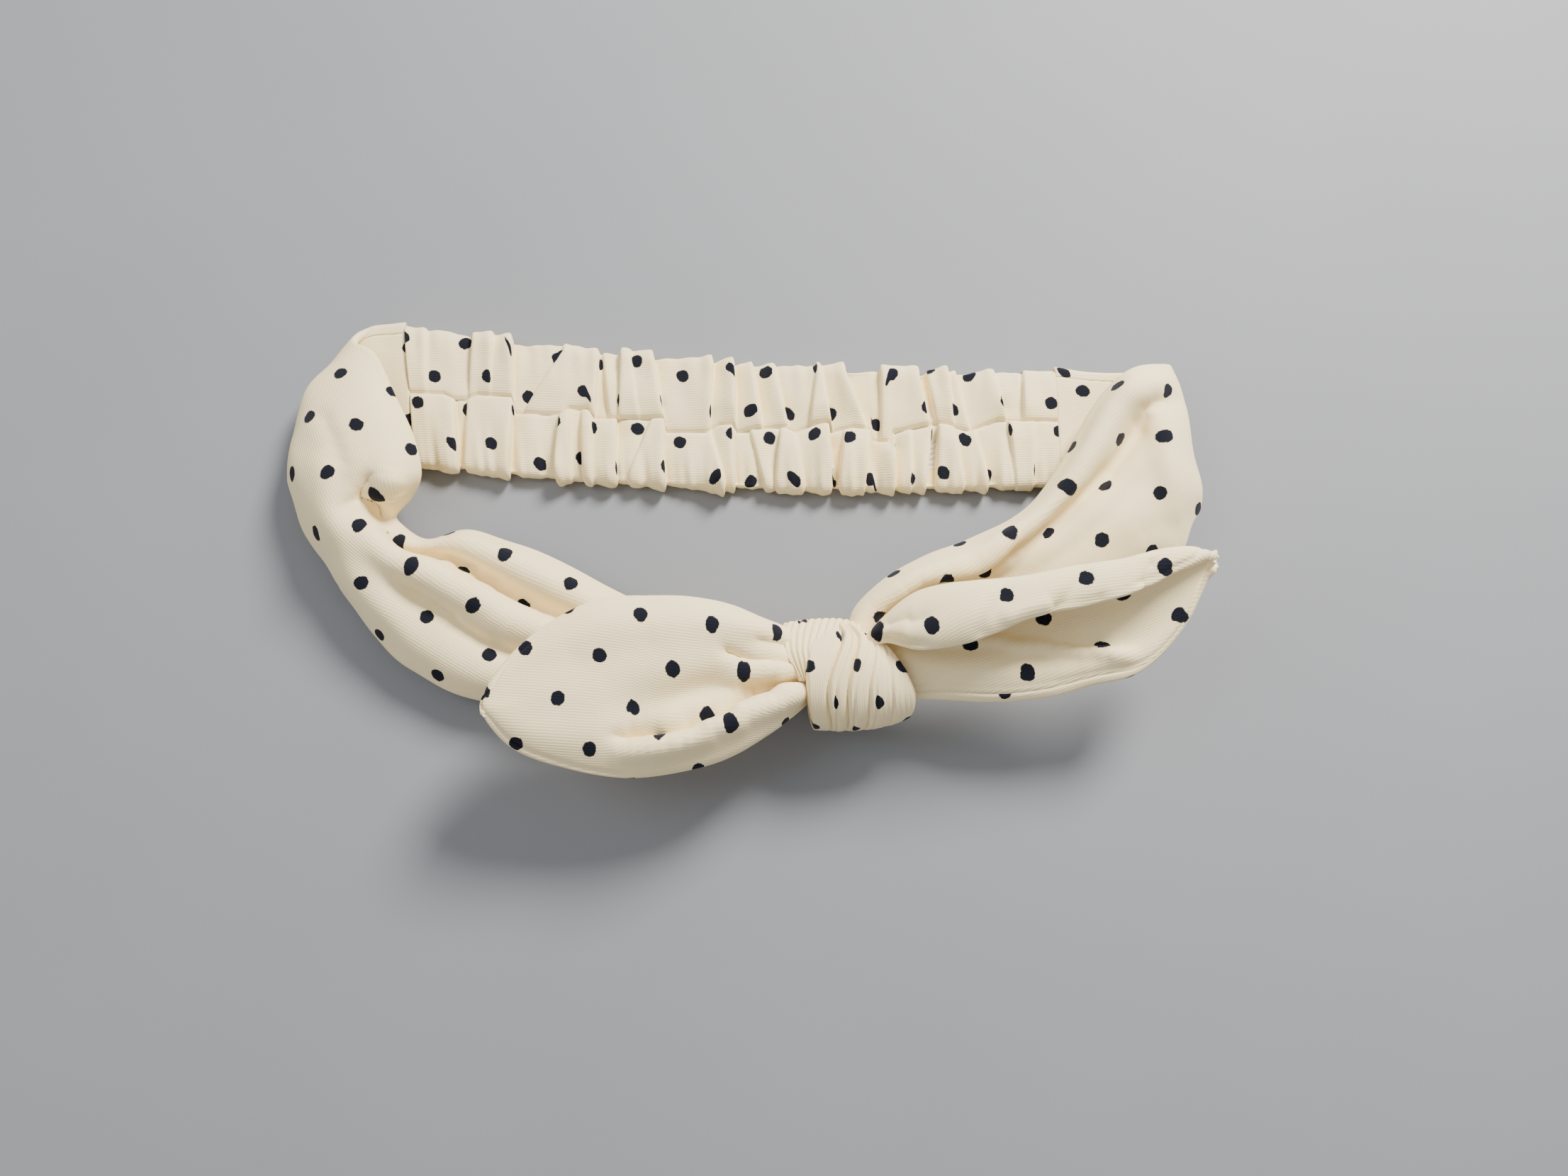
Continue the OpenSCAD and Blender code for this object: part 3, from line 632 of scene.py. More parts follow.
# Creases and folds: path over the rows and columns of points, depth (negative for a raised fold),
# width, and lean towards the first column (negative towards the last)
LEFT_STRAP_CREASES = [
    (((5.7, 1.9), (6.3, 2.35), (6.9, 2.4), (7.5, 1.5), (8.0, 0.5)), 3.4, 1.7, 0),
    (((7.0, 1.2), (6.5, 1.3), (5.9, 1.0)), -1.6, 3.0, -1.2),
    (((3.6, 2.4), (4.6, 2.6), (5.6, 2.9)), 0.8, 2.4, 0),
    (((8.3, 1.5), (9.3, 1.9), (10.1, 1.7), (11.1, 1.95), (12.2, 2.0), (13.8, 2.0)), 3.8, 2.0, -1.3),
    (((7.6, 3.0), (9.2, 3.0), (10.8, 2.9), (12.4, 3.0), (13.8, 3.0)), -1.3, 3.4, 0),
    (((9.4, 3.9), (10.4, 3.9), (11.2, 3.95), (12.4, 4.0), (13.8, 4.0)), 2.8, 2.3, 1.0),
    (((9.6, 0.9), (10.8, 0.8), (12.0, 0.9)), -0.9, 2.6, 0),
]
RIGHT_STRAP_CREASES = [
    (((3.2, 1.6), (4.2, 1.9), (5.2, 2.1), (6.1, 2.05), (7.0, 1.9), (7.9, 1.9)), 2.4, 2.6, 0),
    (((7.3, 1.9), (8.3, 1.8), (8.85, 2.3), (9.4, 2.3), (10.2, 2.0), (11.0, 2.1), (11.9, 2.1)),
     4.2, 1.7, 1.4),
    (((8.2, 1.0), (8.9, 1.5), (9.6, 1.4), (10.4, 1.1), (11.6, 1.2)), -1.4, 2.0, -1.3),
    (((3.2, 0.8), (4.3, 0.9), (5.6, 0.9), (7.0, 0.9)), -0.9, 2.8, 0),
    (((4.6, 3.4), (6.5, 3.6), (8.5, 3.8)), 0.7, 2.4, 0),
    (((4.5, 5.6), (5.0, 5.0), (5.7, 4.6)), 0.5, 2.6, 0),
    (((9.0, 4.4), (10.4, 4.4), (11.8, 4.4)), 1.0, 1.8, 0),
]
LEFT_EAR_CREASES = [
    (((-0.6, 4.1), (1.0, 4.15), (1.6, 4.6), (2.1, 4.65), (2.5, 4.75), (3.1, 4.7), (3.8, 4.8)),
     7.0, 1.4, -2.4),
    (((-0.6, 5.0), (1.0, 5.1), (2.2, 5.3), (3.8, 5.4)), -2.4, 2.2, 2.6),
    (((-0.6, 4.3), (1.0, 4.35), (1.9, 4.75)), 3.2, 0.9, -1.2),
    (((0.2, 5.0), (0.9, 4.95), (1.5, 5.2)), 0.8, 0.8, 0),
    (((-0.6, 2.7), (0.8, 2.8), (1.4, 2.6), (1.9, 2.2)), 3.6, 1.0, 0),
    (((0.0, 3.4), (0.9, 3.4), (1.8, 3.6)), -1.2, 1.6, 0),
    (((-0.6, 1.6), (0.6, 1.7), (1.2, 1.6)), 1.2, 1.0, 0),
    (((2.6, 2.0), (3.6, 2.3), (4.8, 2.6)), 0.7, 4.5, 0),
]
RIGHT_EAR_CREASES = [
    (((0.0, 1.4), (0.7, 1.3), (1.4, 1.2)), 1.2, 1.1, 0),
    (((0.0, 0.5), (0.6, 0.5), (1.2, 0.4)), 0.9, 0.9, 0),
    (((1.9, 0.0), (2.3, 0.8), (2.8, 1.6)), 1.0, 1.7, 0),
    (((3.3, 0.0), (3.8, 0.7), (4.4, 1.7)), 1.2, 1.7, 0),
    (((5.0, 0.0), (5.3, 0.8), (5.8, 1.5)), 1.2, 1.2, 0),
    (((2.4, 0.4), (3.0, 0.3), (3.5, 0.3)), -1.3, 1.8, -1.0),
    (((4.3, 0.3), (4.7, 0.2), (5.1, 0.3)), -1.0, 1.6, -0.8),
    (((0.6, 4.0), (1.6, 4.0), (3.0, 4.15), (4.0, 4.5), (4.8, 4.9)), 2.6, 1.2, 0),
    (((0.3, 5.2), (1.8, 5.2), (3.6, 5.3), (5.2, 5.4)), -0.6, 1.6, 0),
]
# Where the print lies on each piece: along and across, and on a tube its turn in degrees and how
# far the knit is eased along and across
PRINT = {
    "left_strap": (18.6, 7.8, -6, 1, 1),
    "right_strap": (13.2, 10.8, -6, 0.94, 1.06),
    "left_ear": (6.6, 13.8, 8, 1.06, 1),
    "right_ear": (6.6, 23.4, -10, 0.94, 0.97),
    "knot_wrap": (6.8, 2),
    "knot_under_wrap": (9, 5),
}


def make_strap(tube, rows, sign, creases, cloth):
    """A strap's two layers and its middle surface. Its last row is tucked into the knot."""
    last = tucked(rows[-1], KNOT_HEART, STRAP_TUCK)
    mid = cloth_sheet(rows + [last], sign, STRAP_HALF, creases, seed=len(rows))
    along = lengths(mid, 0).mean(1)
    half = STRAP_HALF + JOIN_SWELL * np.exp(-(along / JOIN_REACH) ** 2)
    outer, lining = tube_halves(mid, sign, half, 3)
    return mid, cloth_pair(tube, outer, lining, cloth)


def make_ear(tube, rows, sign, creases, cloth):
    """An ear's two layers and its middle surface. A row before its first is tucked into the knot,
    so the creases move on by one row."""
    first = tucked(rows[0], KNOT_HEART, EAR_TUCK)
    shifted = [([(r + 1, c) for r, c in path], *rest) for path, *rest in creases]
    mid = cloth_sheet([first] + rows, sign, EAR_HALF, shifted, seed=len(rows) + 5)
    outer, lining = tube_halves(mid, sign, EAR_HALF, 2, tip=True)
    groove(outer, SEAM_IN, SEAM_DIP)
    groove(lining, LINING_SEAM_IN, SEAM_DIP)
    return mid, cloth_pair(tube, outer, lining, cloth)


# ---------------------------------------------------------------- gathered casing

# Middle of each end in plan, width at each end, slant of the left end, sag of the middle, and the
# radius of its rounded long sides
CASING_LEFT = np.array([-99, 46])
CASING_RIGHT = np.array([87, 36])
CASING_W = (43, 35)
CASING_LEAN = -0.14
CASING_BOW = 4
CASING_LENGTH = 186
CASING_SIDE_R = 2.4
CASING_FLOOR = 0.25
# Rows along the casing, and columns across each half's top, round its side and under it
CASING_ROWS = 440
TOP_STEPS = 26
SIDE_STEPS = 8

# Knife pleats of each half: place at the seam, place at the outer edge, size, and the side that it
# falls to
UPPER_PLEATS = [
    (5, 6, 0.3, 1), (17.5, 20, 0.7, -1), (23.5, 25.5, 0.4, 1), (29.5, 30.5, 1.3, 1),
    (33, 46, 0.6, -1), (53, 55.5, 1.0, 1), (58, 57, 0.6, -1), (60.5, 62.5, 0.8, -1),
    (66, 65, 0.3, 1), (73, 71, 1.3, 1), (86, 88, 1.0, 1), (93.5, 94, 1.1, 1), (101, 99.5, 0.9, 1),
    (108.5, 106, 0.8, 1), (115.5, 118, 0.7, -1), (121, 119, 0.8, 1), (131, 125.5, 1.2, 1),
    (135.5, 136.5, 1.0, -1), (149, 146.5, 1.2, 1), (151.5, 149.5, 0.5, -1), (156, 155, 0.8, 1),
    (160.5, 157.5, 0.8, 1), (171, 168.5, 0.7, 1), (176.5, 177, 0.6, -1),
]
LOWER_PLEATS = [
    (12.5, 12, 1.0, 1), (17, 14.5, 0.7, -1), (30, 26.7, 1.2, 1), (43.5, 41, 0.8, -1),
    (46, 45, 0.6, 1), (50, 49, 0.6, -1), (52.5, 51, 0.7, 1), (59, 58, 1.2, 1), (70, 62, 0.4, -1),
    (73, 72, 1.1, 1), (86, 89, 0.8, 1), (92.5, 92, 1.1, 1), (98, 101, 0.7, -1),
    (107, 104.5, 0.7, -1), (110.5, 112, 0.6, 1), (120, 120, 1.2, 1), (125, 123, 0.7, -1),
    (132, 129.5, 0.9, 1), (138.5, 138, 1.2, 1), (144, 143, 0.5, 1), (150, 147, 0.9, 1),
    (152.5, 150.5, 1.0, -1), (156, 158, 0.6, 1), (162, 165, 0.8, 1), (172, 173.5, 0.7, -1),
    (179, 178, 0.8, 1),
]
# The middle seam wanders, and steps where a pleat crosses it: place along, distance from the middle
CASING_SEAM = [
    (0, 0.2), (10, 1.3), (13, 0.1), (17, 0.7), (20, 2.3), (29.3, 2.7), (30.3, -2.1), (44, -1),
    (46, 1), (51.5, 1.1), (52.5, -1.4), (72.8, 0.2), (73.6, -3.7), (85, -3.3), (89, -0.7),
    (93, -0.5), (94, -2.8), (99.5, -1.2), (108, -0.5), (110.5, -2), (117, 0.8), (120.2, 1.3),
    (121, -1.4), (127.5, 0.1), (132.2, -0.4), (133, -3.7), (137.5, -4.2), (138.5, -1.3),
    (151.5, 1.7), (155, 1), (160, -1), (168.5, 2.2), (186, 1.6),
]
# Height of a pleat of size 1, and the cloth it takes up
PLEAT_H = 2.2
PLEAT_TAKE = 5.0


def casing_plan(s, v):
    """Place in plan of a point on the casing: s along it, v from its middle line."""
    f = np.asarray(s) / CASING_LENGTH
    middle = CASING_LEFT + (CASING_RIGHT - CASING_LEFT) * f[..., None]
    x = middle[..., 0] + CASING_LEAN * (1 - f) * v
    y = middle[..., 1] - CASING_BOW * 4 * f * (1 - f) + v
    return x + CENTRING[0], y + CENTRING[1]


def casing_seam_at(s):
    """Distance of the lengthwise seam from the casing's middle line."""
    places, offsets = zip(*CASING_SEAM)
    return np.interp(s, places, offsets)


def pleated(s, t, pleats):
    """Height, sideways lean and cloth taken up by pleats, for s along the casing. t is the share of
    the way from seam to edge. A pleat swells up to a lip, and drops sharply behind it."""
    height, lean, taken = np.zeros_like(s), np.zeros_like(s), np.zeros_like(s)
    for at_seam, at_edge, size, side in pleats:
        d = (s - at_seam - (at_edge - at_seam) * t) * side
        swell = 0.75 + 0.25 * np.cos((t - 0.6) * math.pi + at_seam)
        lip = np.exp(-np.abs(np.minimum(d + 0.7, 0) / (1.6 + 2.2 * size)) ** 1.3)
        fall = 0.5 - 0.5 * np.tanh((d - 0.1) / 0.32)
        recess = (1 - fall) * np.exp(-np.maximum(d, 0) / (1.5 + 2.4 * size))
        height += size * swell * (lip * fall - 1.05 * recess)
        lean += side * size * swell * 0.75 * np.exp(-((d + 0.35) / 0.8) ** 2)
        taken += PLEAT_TAKE * size * (0.5 + 0.5 * np.tanh(d * side / 0.44))
    return PLEAT_H * height, lean, taken


def make_casing(cloth):
    """The gathered tube, and the line its lengthwise seam follows."""
    s = np.linspace(0, CASING_LENGTH, CASING_ROWS)[:, None]
    f = s / CASING_LENGTH
    half_w = (CASING_W[0] + (CASING_W[1] - CASING_W[0]) * f) / 2 - CASING_SIDE_R
    seam = casing_seam_at(s)
    # Columns are closer near the seam, where the cloth dips most
    t = (np.arange(TOP_STEPS + 1) / TOP_STEPS)[None] ** 1.25 + 0 * s
    end_fade = np.clip(np.minimum(s, CASING_LENGTH - s) / 4, 0.25, 1)
    top_z = CASING_FLOOR + 2 * CASING_SIDE_R
    mid_z = CASING_FLOOR + CASING_SIDE_R

    def half_top(pleats, side, seed):
        """Top of one half: place along, place across, height, and its place on the cloth."""
        h, lean, taken = pleated(s + 0 * t, t, pleats)
        near_seam = 0.42 + 0.58 * np.clip(t / 0.3, 0, 1) ** 0.8
        v = seam + (side * half_w - seam) * t
        puff = 0.75 * np.sin(math.pi * np.clip(t, 0, 1)) ** 0.6
        dip = 0.65 * np.exp(-(np.abs(v - seam) / 0.5) ** 1.5)
        rough = ripples(np.stack([s + 0 * t, v, 0 * v], -1), seed, 8, (1, 2.4, 1)) * 0.3
        lift = (h * near_seam + rough) * end_fade + puff - dip
        edge = ripples(np.stack([s + 0 * t, 0 * v, 0 * v], -1), seed + 9, 3.6)
        lift = lift + edge * (0.3 if side > 0 else 0.5) * t ** 2 * end_fade
        return s + lean * end_fade, v, lift, s * 1.03 + taken, np.abs(v - seam)

    upper = half_top(UPPER_PLEATS, 1, 3)
    lower = half_top(LOWER_PLEATS, -1, 4)

    def ring(part, side):
        """Columns from the seam over the top, round the side and back along the underside."""
        sx, v, lift, u, w = part
        cols = []
        for k in range(sx.shape[1]):
            x, y = casing_plan(sx[:, k], v[:, k])
            cols.append((x, y, top_z + lift[:, k], u[:, k], w[:, k]))
        for k in range(1, SIDE_STEPS + 1):
            angle = math.pi * k / SIDE_STEPS
            fade = 0.5 + 0.5 * math.cos(angle)
            r = CASING_SIDE_R + lift[:, -1] * (0.35 + 0.5 * fade)
            x, y = casing_plan(sx[:, -1] * fade + s[:, 0] * (1 - fade),
                               v[:, -1] + side * r * math.sin(angle))
            z = mid_z + (CASING_SIDE_R + lift[:, -1] * fade) * math.cos(angle)
            cols.append((x, y, np.maximum(z, CASING_FLOOR), u[:, -1], w[:, -1] + r * angle))
        for k in range(1, SIDE_STEPS + 1):
            inward = v[:, -1] * (1 - k / SIDE_STEPS)
            x, y = casing_plan(s[:, 0], inward)
            cols.append((x, y, CASING_FLOOR + 0 * x, u[:, -1], w[:, -1] + CASING_SIDE_R * math.pi
                         + np.abs(v[:, -1] - inward)))
        return cols

    a, b = ring(upper, 1), ring(lower, -1)
    around = a + b[-2:0:-1]
    grid = np.stack([np.stack(c[:3], -1) for c in around], 1)
    uv = np.stack([np.stack([c[3], c[4] + 6.3], -1) for c in a]
                  + [np.stack([c[3] + 7, -c[4] - 9.1], -1) for c in b[-2:0:-1]], 1)
    centre = np.stack([*casing_plan(s[:, 0], 0 * s[:, 0]), mid_z + 0 * s[:, 0]], -1)[:, None]
    # The cloth's thickness leans less along the casing than its face does, so that the inner face
    # never folds through itself
    inner = unit(outward_round(grid, centre) * (0.35, 1, 1))
    piece = shell("casing_cloth", grid, uv, KNIT, inner, cloth, closed=True)
    return piece, grid[:, 0] - (0, 0, 0.05)


# ---------------------------------------------------------------- knot

KNOT_MIDDLE = np.array([0, -37, 14.0]) + CENTRING
KNOT_RY = 13.6
KNOT_RZ = 13.4
KNOT_CLOTH = 1.2  # two layers, pressed together
UNDER_CLOTH = 0.9

# Edges of the wrap by angle, from the far side over the top to the near side, millimetres along X
WRAP_ANGLES = (0, 30, 60, 90, 125, 160, 180, 230, 300, 360)
WRAP_LEFT = (17, 16, 15, 14.2, 14.4, 15.6, 16, 15, 15, 16)
WRAP_RIGHT = (28, 30.5, 36.5, 40.5, 43, 43, 41.5, 38, 32, 28)
# Pleats fan out from the far side: share of the width at 50, 105 and 160 degrees, depth, and
# how much cloth each takes up
WRAP_PLEATS = [
    (0.44, 0.21, 0.20, 1.3, 3), (0.56, 0.29, 0.25, 0.7, 3), (0.64, 0.40, 0.36, 1.2, 3),
    (0.78, 0.47, 0.41, 0.6, 3), (0.85, 0.60, 0.55, 0.8, 3), (0.91, 0.66, 0.61, 0.4, 2),
    (0.95, 0.80, 0.77, 0.35, 2),
]


def around_knot(grid):
    """The knot's middle line, level with each point of a grid."""
    return grid * (1, 0, 0) + KNOT_MIDDLE * (0, 1, 1)


def make_wrap(cloth):
    """The band round the front of the knot, with its pleats fanned out from the far side."""
    degrees = np.linspace(0, 360, 241)[:-1]
    a = np.radians(degrees)[:, None]
    f = np.linspace(0, 1, 101)[None]
    left = np.interp(degrees, WRAP_ANGLES, WRAP_LEFT)
    right = np.interp(degrees, WRAP_ANGLES, WRAP_RIGHT)
    # Rounds off the corners of the two edges
    kernel = np.hanning(25) / np.hanning(25).sum()
    left, right = (np.convolve(np.tile(e, 3), kernel, "same")[240:480][:, None]
                   for e in (left, right))
    far = np.clip(np.cos(a), 0, 1)
    near = np.clip(-np.cos(a), 0, 1)
    crown = (1.07 - 0.17 * np.maximum(2 * f - 1, 0) ** 2.2 - 0.06 * np.maximum(1 - 2 * f, 0) ** 2.2
             - far * 0.30 * (f - 0.6) ** 2 + near * 0.10 * (0.5 - f))
    out = 0 * a + 0 * f
    on = np.clip(np.minimum(degrees - 8, 192 - degrees) / 30, 0, 1)[:, None]
    across = (f - 0.5) * 30 + 0 * a
    for first, second, third, depth, take in WRAP_PLEATS:
        at = np.clip((degrees - 50) / 55, 0, 2)
        d = (f - curve_through([first, second, third], at)[:, None]) * (right - left)
        swell = 0.5 * np.exp(-((d - 1.3) / 1.2) ** 2)
        cut = np.exp(-(np.abs(d) / 0.4) ** 1.4)
        out = out + on * depth * (swell - 1.05 * cut)
        across = across + take * (0.5 + 0.5 * np.tanh(d / 0.35))
    fine = 0.07 * np.sin(f * (right - left) * 2 * math.pi / 1.5)
    out = out + fine * np.clip(f * 3 - 1.5, 0, 1) * on
    x = left + (right - left) * f + 0 * a
    # Rolled edges: the cloth turns in at both sides
    roll = np.maximum(1 - f * 26, 0) ** 2 + np.maximum(1 - (1 - f) * 26, 0) ** 2
    y = (KNOT_RY * crown + out - 2.0 * roll) * np.cos(a)
    z = (KNOT_RZ * crown + out - 2.0 * roll) * np.sin(a)
    grid = np.stack([x, y, np.maximum(z, -KNOT_MIDDLE[2] + 0.35)], -1) + KNOT_MIDDLE
    around = lengths(np.concatenate([grid, grid[:1]]), 0)[:-1].mean(1, keepdims=True)
    uv = np.stack([around + 0 * f, across], -1)
    # Rows run across the wrap, so that the closed way round is along the columns
    grid, uv = np.swapaxes(grid, 0, 1), np.swapaxes(uv, 0, 1) + PRINT["knot_wrap"]
    out = outward_round(grid, around_knot(grid))
    return shell("knot_wrap_cloth", grid, uv, KNOT_CLOTH, out, cloth, closed=True)


def make_under_wrap(cloth):
    """The first turn of the cloth, which shows behind the wrap and as a ribbed collar on its left.
    Its edges and height are given by angle, as the wrap's are."""
    degrees = np.linspace(-64, 105, 130)
    a = np.radians(degrees)[:, None]
    f = np.linspace(0, 1, 70)[None]
    left = np.interp(degrees, (-64, 0, 40, 65, 105), (13, 9, 8.5, 9.5, 13))[:, None]
    right = np.interp(degrees, (-64, 0, 40, 105), (27, 29.5, 29, 20))[:, None]
    rise = np.interp(degrees, (-64, -20, 22, 52, 80, 105), (0.86, 1.10, 1.12, 0.99, 0.94, 0.86))
    crown = rise[:, None] * (1 - 0.05 * np.maximum(1.25 - 2 * f, 0) ** 2.2
                             - 0.22 * np.maximum(2 * f - 1.25, 0) ** 2.2)
    ribs = 0.32 * np.sin((f + 0.12 * np.sin(a * 1.3)) * 2 * math.pi * 11)
    ribs = np.where(ribs < 0, ribs * 1.5, ribs * 0.7)
    x = left + (right - left) * f + 0 * a
    y = (KNOT_RY * crown + ribs) * np.cos(a)
    z = (KNOT_RZ * crown + ribs) * np.sin(a)
    grid = np.stack([x, y, z], -1) + KNOT_MIDDLE
    uv = np.stack([lengths(grid, 0), lengths(grid, 1)], -1) + PRINT["knot_under_wrap"]
    out = outward(grid, around_knot(grid))
    return shell("knot_under_wrap_cloth", grid, uv, UNDER_CLOTH, out, cloth)


def make_core(cloth):
    """The crossed straps inside the knot: a bundle of folds with a half twist."""
    along = np.linspace(0, 1, 60)[:, None]
    turn = np.linspace(0, 2 * math.pi, 97)[None, :-1]
    twist = along * math.pi
    folds = 0.9 * np.sin(turn * 5 + twist * 2) + 0.5 * np.sin(turn * 9 - twist * 3)
    r = 9.2 + folds - 2.6 * np.abs(2 * along - 1) ** 3
    x = 16 + 23 * along + 0 * turn
    grid = np.stack([x, r * np.cos(turn), r * np.sin(turn)], -1) + KNOT_MIDDLE
    uv = np.stack([x, turn * 9 + 0 * along], -1)
    out = outward_round(grid, around_knot(grid))
    return shell("knot_core_cloth", grid, uv, KNOT_CLOTH, out, cloth, closed=True)


# ---------------------------------------------------------------- elastic and stitches

ELASTIC_W = 25
ELASTIC_T = 1.2
ELASTIC_Z = 2.5
ELASTIC_RIB_H = 0.12


def make_elastic(cloth):
    """The elastic as a flat closed band: ribbed on both faces, thinner at its edges, and capped at
    its ends."""
    s = np.linspace(1.2, CASING_LENGTH - 1.2, 200)
    top = []
    for v in ELASTIC_W / 2 * np.linspace(-1, 1, 41):
        top.append((v, 1 - 0.35 * (abs(v) > ELASTIC_W / 2 - 0.4)))
    outline = top + [(v, -h) for v, h in reversed(top)]
    columns = []
    for v, h in outline:
        x, y = casing_plan(s, v + 0 * s)
        rib = ELASTIC_RIB_H * math.cos(v * 2 * math.pi / ELASTIC_RIB)
        z = ELASTIC_Z + h * (ELASTIC_T / 2 - ELASTIC_RIB_H + rib)
        columns.append(np.stack([x, y, z + 0 * x], -1))
    grid = np.stack(columns, 1)
    n, m = grid.shape[:2]
    faces = [f[::-1] for f in grid_faces(n, m, closed=True).tolist()]
    for row, turned in ((0, False), (n - 1, True)):
        for j in range(m // 2 - 1):
            f = [row * m + j, row * m + j + 1, row * m + m - 2 - j, row * m + m - 1 - j]
            faces.append(f[::-1] if turned else f)
    uv = np.stack(np.meshgrid(s, [v for v, _ in outline], indexing="ij"), -1)
    return make_mesh("ribbed_elastic", grid.reshape(-1, 3), faces, uv.reshape(-1, 2), cloth)


def stitch_tree():
    """Geometry nodes that sew stitches along a line. Each one is a short rounded length of
    thread."""
    tree = bpy.data.node_groups.new("stitches", "GeometryNodeTree")
    tree.interface.new_socket("Seam", in_out="INPUT", socket_type="NodeSocketGeometry")
    for name in ("Stitch length", "Gap", "Thread diameter"):
        tree.interface.new_socket(name, in_out="INPUT", socket_type="NodeSocketFloat")
    tree.interface.new_socket("Thread", in_out="INPUT", socket_type="NodeSocketMaterial")
    tree.interface.new_socket("Stitches", in_out="OUTPUT", socket_type="NodeSocketGeometry")
    given = add(tree, "NodeGroupInput")
    line = add(tree, "GeometryNodeMeshToCurve", Mesh=given.outputs["Seam"])
    pitch = add(tree, "ShaderNodeMath", {"operation": "ADD"}, _0=given.outputs["Stitch length"],
                _1=given.outputs["Gap"])
    points = add(tree, "GeometryNodeCurveToPoints", {"mode": "LENGTH"}, Curve=line.outputs[0],
                 Length=pitch.outputs[0])
    radius, reach = (
        add(tree, "ShaderNodeMath", {"operation": "MULTIPLY"}, _0=given.outputs[name], _1=0.5)
        for name in ("Thread diameter", "Stitch length"))
    size = add(tree, "ShaderNodeCombineXYZ", X=radius.outputs[0], Y=radius.outputs[0],
               Z=reach.outputs[0])
    stitch = add(tree, "GeometryNodeMeshUVSphere", Segments=8, Rings=6, Radius=1.0)
    sewn = add(tree, "GeometryNodeInstanceOnPoints", Points=points.outputs["Points"],
               Instance=stitch.outputs["Mesh"], Rotation=points.outputs["Rotation"],
               Scale=size.outputs[0])
    real = add(tree, "GeometryNodeRealizeInstances", Geometry=sewn.outputs[0])
    dyed = add(tree, "GeometryNodeSetMaterial", Geometry=real.outputs[0],
               Material=given.outputs["Thread"])
    out = add(tree, "NodeGroupOutput")
    tree.links.new(dyed.outputs[0], out.inputs[0])
    return tree


def sew(name, lines, length=1.9, gap=0.5, diameter=0.42):
    """A row of stitches along each line of points."""
    points = np.concatenate(lines) * MM
    edges, start = [], 0
    for line in lines:
        edges += [(start + k, start + k + 1) for k in range(len(line) - 1)]
        start += len(line)
    data = bpy.data.meshes.new(name + "_line")
    data.from_pydata(points.tolist(), edges, [])
    seam = placed(name + "_line", data)
    modifier = seam.modifiers.new("stitches", "NODES")
    modifier.node_group = stitches
    given = {"Stitch length": length * MM, "Gap": gap * MM, "Thread diameter": diameter * MM,
             "Thread": thread}
    for item in stitches.interface.items_tree:
        if item.in_out == "INPUT" and item.name in given:
            modifier[item.identifier] = given[item.name]
    bpy.context.view_layer.update()
    ready = seam.evaluated_get(bpy.context.evaluated_depsgraph_get())
    mesh = bpy.data.meshes.new_from_object(ready)
    mesh.name = name
    mesh.polygons.foreach_set("use_smooth", [True] * len(mesh.polygons))
    bpy.data.objects.remove(seam)
    return placed(name, mesh)


def edge_lines(mid, sign, half, inset, offset, from_row=0, short=0):
    """The lines of the seams at a distance inside the two long edges of a cloth tube, first the one
    of its first column. They start at a row and stop some rows short of the end. offset is how far
    they stand above the face, which is half a thickness from the middle."""
    up = normals(mid, sign)
    run = lengths(mid, 1)
    sides = []
    for near_low in (True, False):
        line = []
        for i in range(from_row, len(mid) - short):
            total = run[i, -1]
            at = min(inset, total / 2)
            at = at if near_low else total - at
            point = np.array([np.interp(at, run[i], mid[i, :, k]) for k in range(3)])
            up_here = np.array([np.interp(at, run[i], up[i, :, k]) for k in range(3)])
            line.append(point + up_here * (half + offset))
        sides.append(np.array(line))
    return sides


def sew_across(node, s_at, width, count, zigzag, height, stitch, body):
    """Stitches across the casing at a place along it, straight or in a zigzag."""
    v = np.linspace(-width / 2 + 1.5, width / 2 - 1.5, count)
    x, y = casing_plan(s_at + zigzag * (np.arange(count) % 2 - 0.5), v)
    line = np.stack([x, y, height + 0 * x], -1)
    finish_piece(sew(f"{node}_stitches", [line], *stitch), node, body)


# ---------------------------------------------------------------- scene

# Cloth that crosses a joint: the two bodies, and where the change starts and ends
STRETCH = ("band", "right_side", (-0.096, 0, 0), (0.089, 0, 0))
STRAP_STRETCH = ("band", "right_side", (0.045, 0, 0), (0.089, 0, 0))
LEFT_LIFT = ("band", "left_ear", (0.0150, 0, 0), (0.0010, 0, 0))
RIGHT_LIFT = ("band", "right_ear", (0.0370, 0, 0), (0.0510, 0, 0))
# Stitches across the casing: how many points, zigzag, height, and stitch length, gap and thread
JOIN = (40, 0, 4.6, (2.0, 0.6, 0.35))
TACK = (23, 0.9, 3.2, (1.5, 0.2, 0.3))


def finish_piece(piece, node, body):
    """Hides the CAD part that a piece stands in for, and hangs the piece on its body's empty. body is one
    name, or two with a start and an end; a piece on two bodies only has its place baked into its mesh."""
    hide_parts(node)
    if isinstance(body, str):
        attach(piece, body)
    else:
        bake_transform(piece)


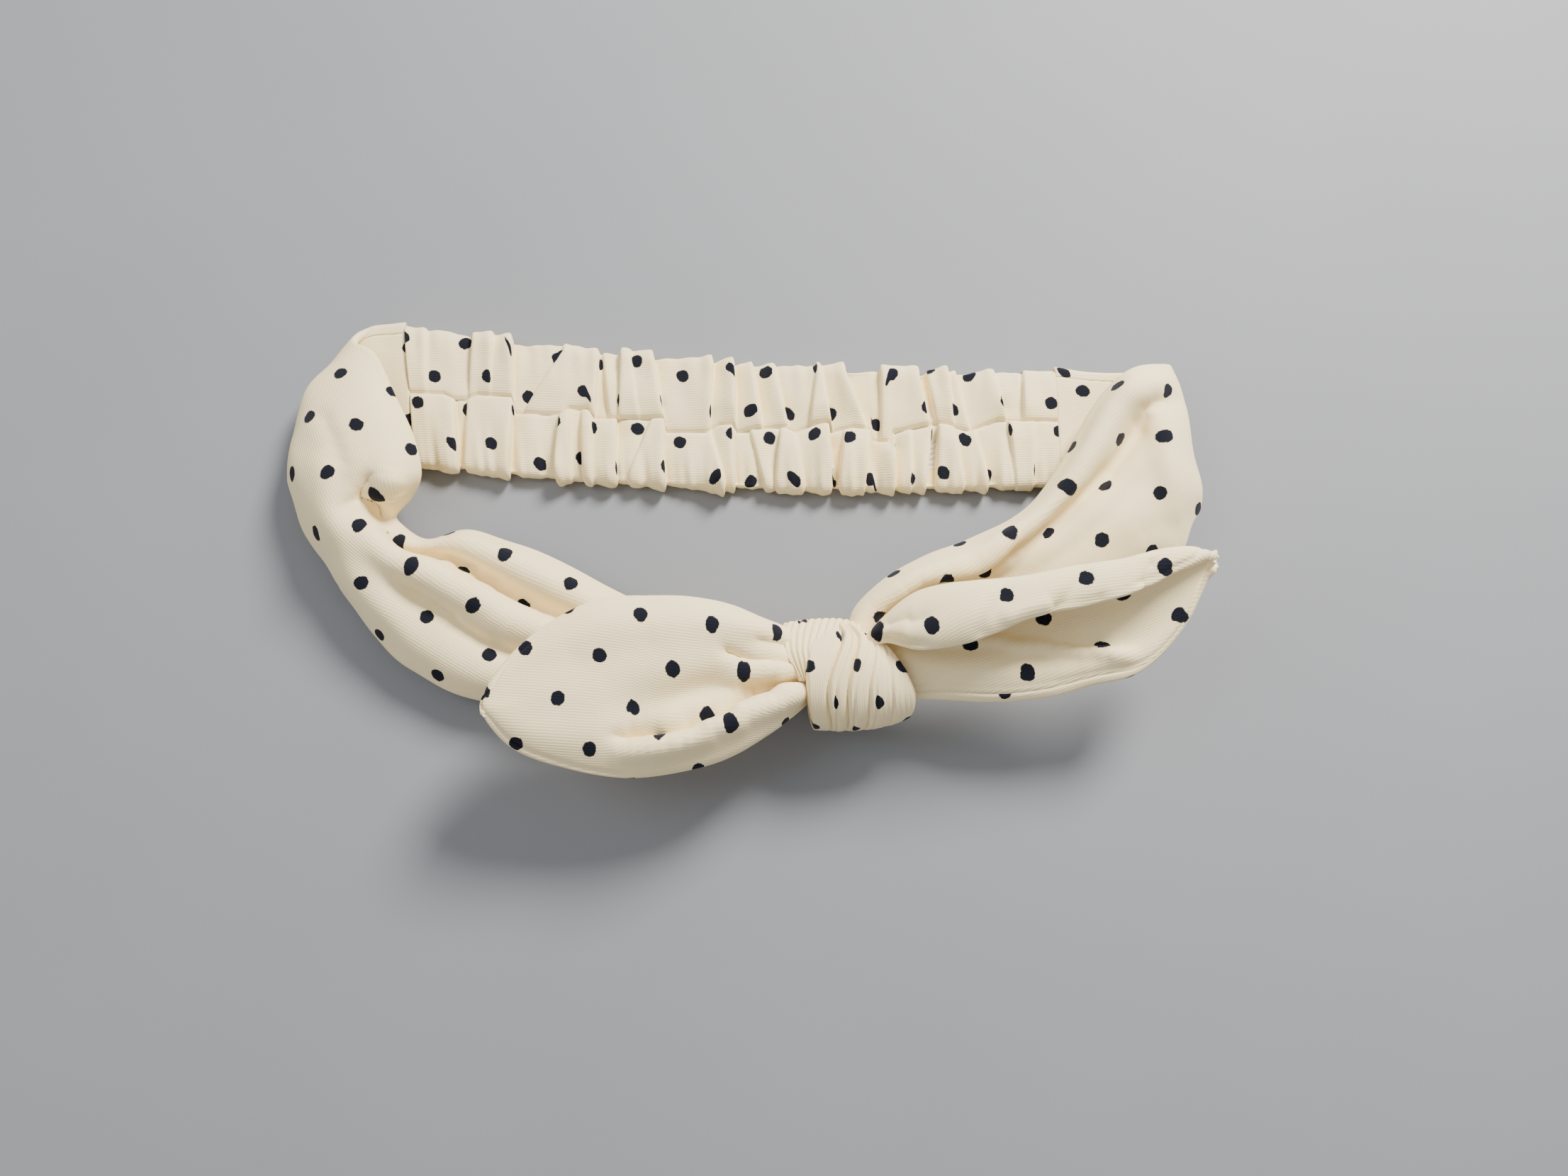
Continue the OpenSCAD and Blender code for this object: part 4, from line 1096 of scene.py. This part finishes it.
def finish_tube(tube, layers, seams, body):
    """Finishes the two layers of a strap or an ear, and sews its edge."""
    for piece, slot_name in zip(layers, ("cotton_jersey", "jersey_lining")):
        finish_piece(piece, piece.name.removesuffix("_cloth"), body)
    finish_piece(sew(f"{tube}_edge_stitches", seams), f"{tube}_edge_seam", body)


make_camera()
make_world()
for name, light in LIGHTS.items():
    make_light(name, *light)

jersey = cotton_jersey()
thread = sewing_thread()
elastic = knitted_elastic()
stitches = stitch_tree()
make_floor(studio_floor())

# A strap shows the side of its rows that its sign says, and its seam is on the other side
for tube, rows, sign, creases, body in (
    ("left_strap", LEFT_STRAP, -1, LEFT_STRAP_CREASES, "band"),
    ("right_strap", RIGHT_STRAP, 1, RIGHT_STRAP_CREASES, STRAP_STRETCH),
):
    mid, layers = make_strap(tube, rows, sign, creases, jersey)
    seams = edge_lines(mid, -sign, STRAP_HALF, SEAM_IN, STRAP_STITCH_RISE)
    finish_tube(tube, layers, seams[1:], body)

# An ear's stitches lie in its groove. They start outside the knot and stop before the blunt tip.
for tube, rows, creases, body in (
    ("left_ear", LEFT_EAR, LEFT_EAR_CREASES, LEFT_LIFT),
    ("right_ear", RIGHT_EAR, RIGHT_EAR_CREASES, RIGHT_LIFT),
):
    mid, layers = make_ear(tube, rows, 1, creases, jersey)
    seams = edge_lines(mid, 1, EAR_HALF, SEAM_IN - EAR_HALF / 2, EAR_STITCH_RISE,
                       EAR_SEAM_START, EAR_SEAM_SHORT)
    finish_tube(tube, layers, seams, body)

casing, seam_line = make_casing(jersey)
finish_piece(casing, "casing_tube", STRETCH)
casing_seam = sew("casing_seam_stitches", [seam_line], 1.6, 0.7, 0.3)
finish_piece(casing_seam, "casing_seam_thread", STRETCH)
finish_piece(make_elastic(elastic), "elastic_band", STRETCH)

sew_across("join_seam_left", 0.6, CASING_W[0], *JOIN, "band")
sew_across("join_seam_right", CASING_LENGTH - 0.6, CASING_W[1], *JOIN, "right_side")
sew_across("elastic_tack_left", 3.2, ELASTIC_W, *TACK, "band")
sew_across("elastic_tack_right", CASING_LENGTH - 3.2, ELASTIC_W, *TACK, "right_side")

finish_piece(make_wrap(jersey), "knot_wrap", "band")
finish_piece(make_under_wrap(jersey), "knot_under_wrap", "band")
finish_piece(make_core(jersey), "knot_core", "band")
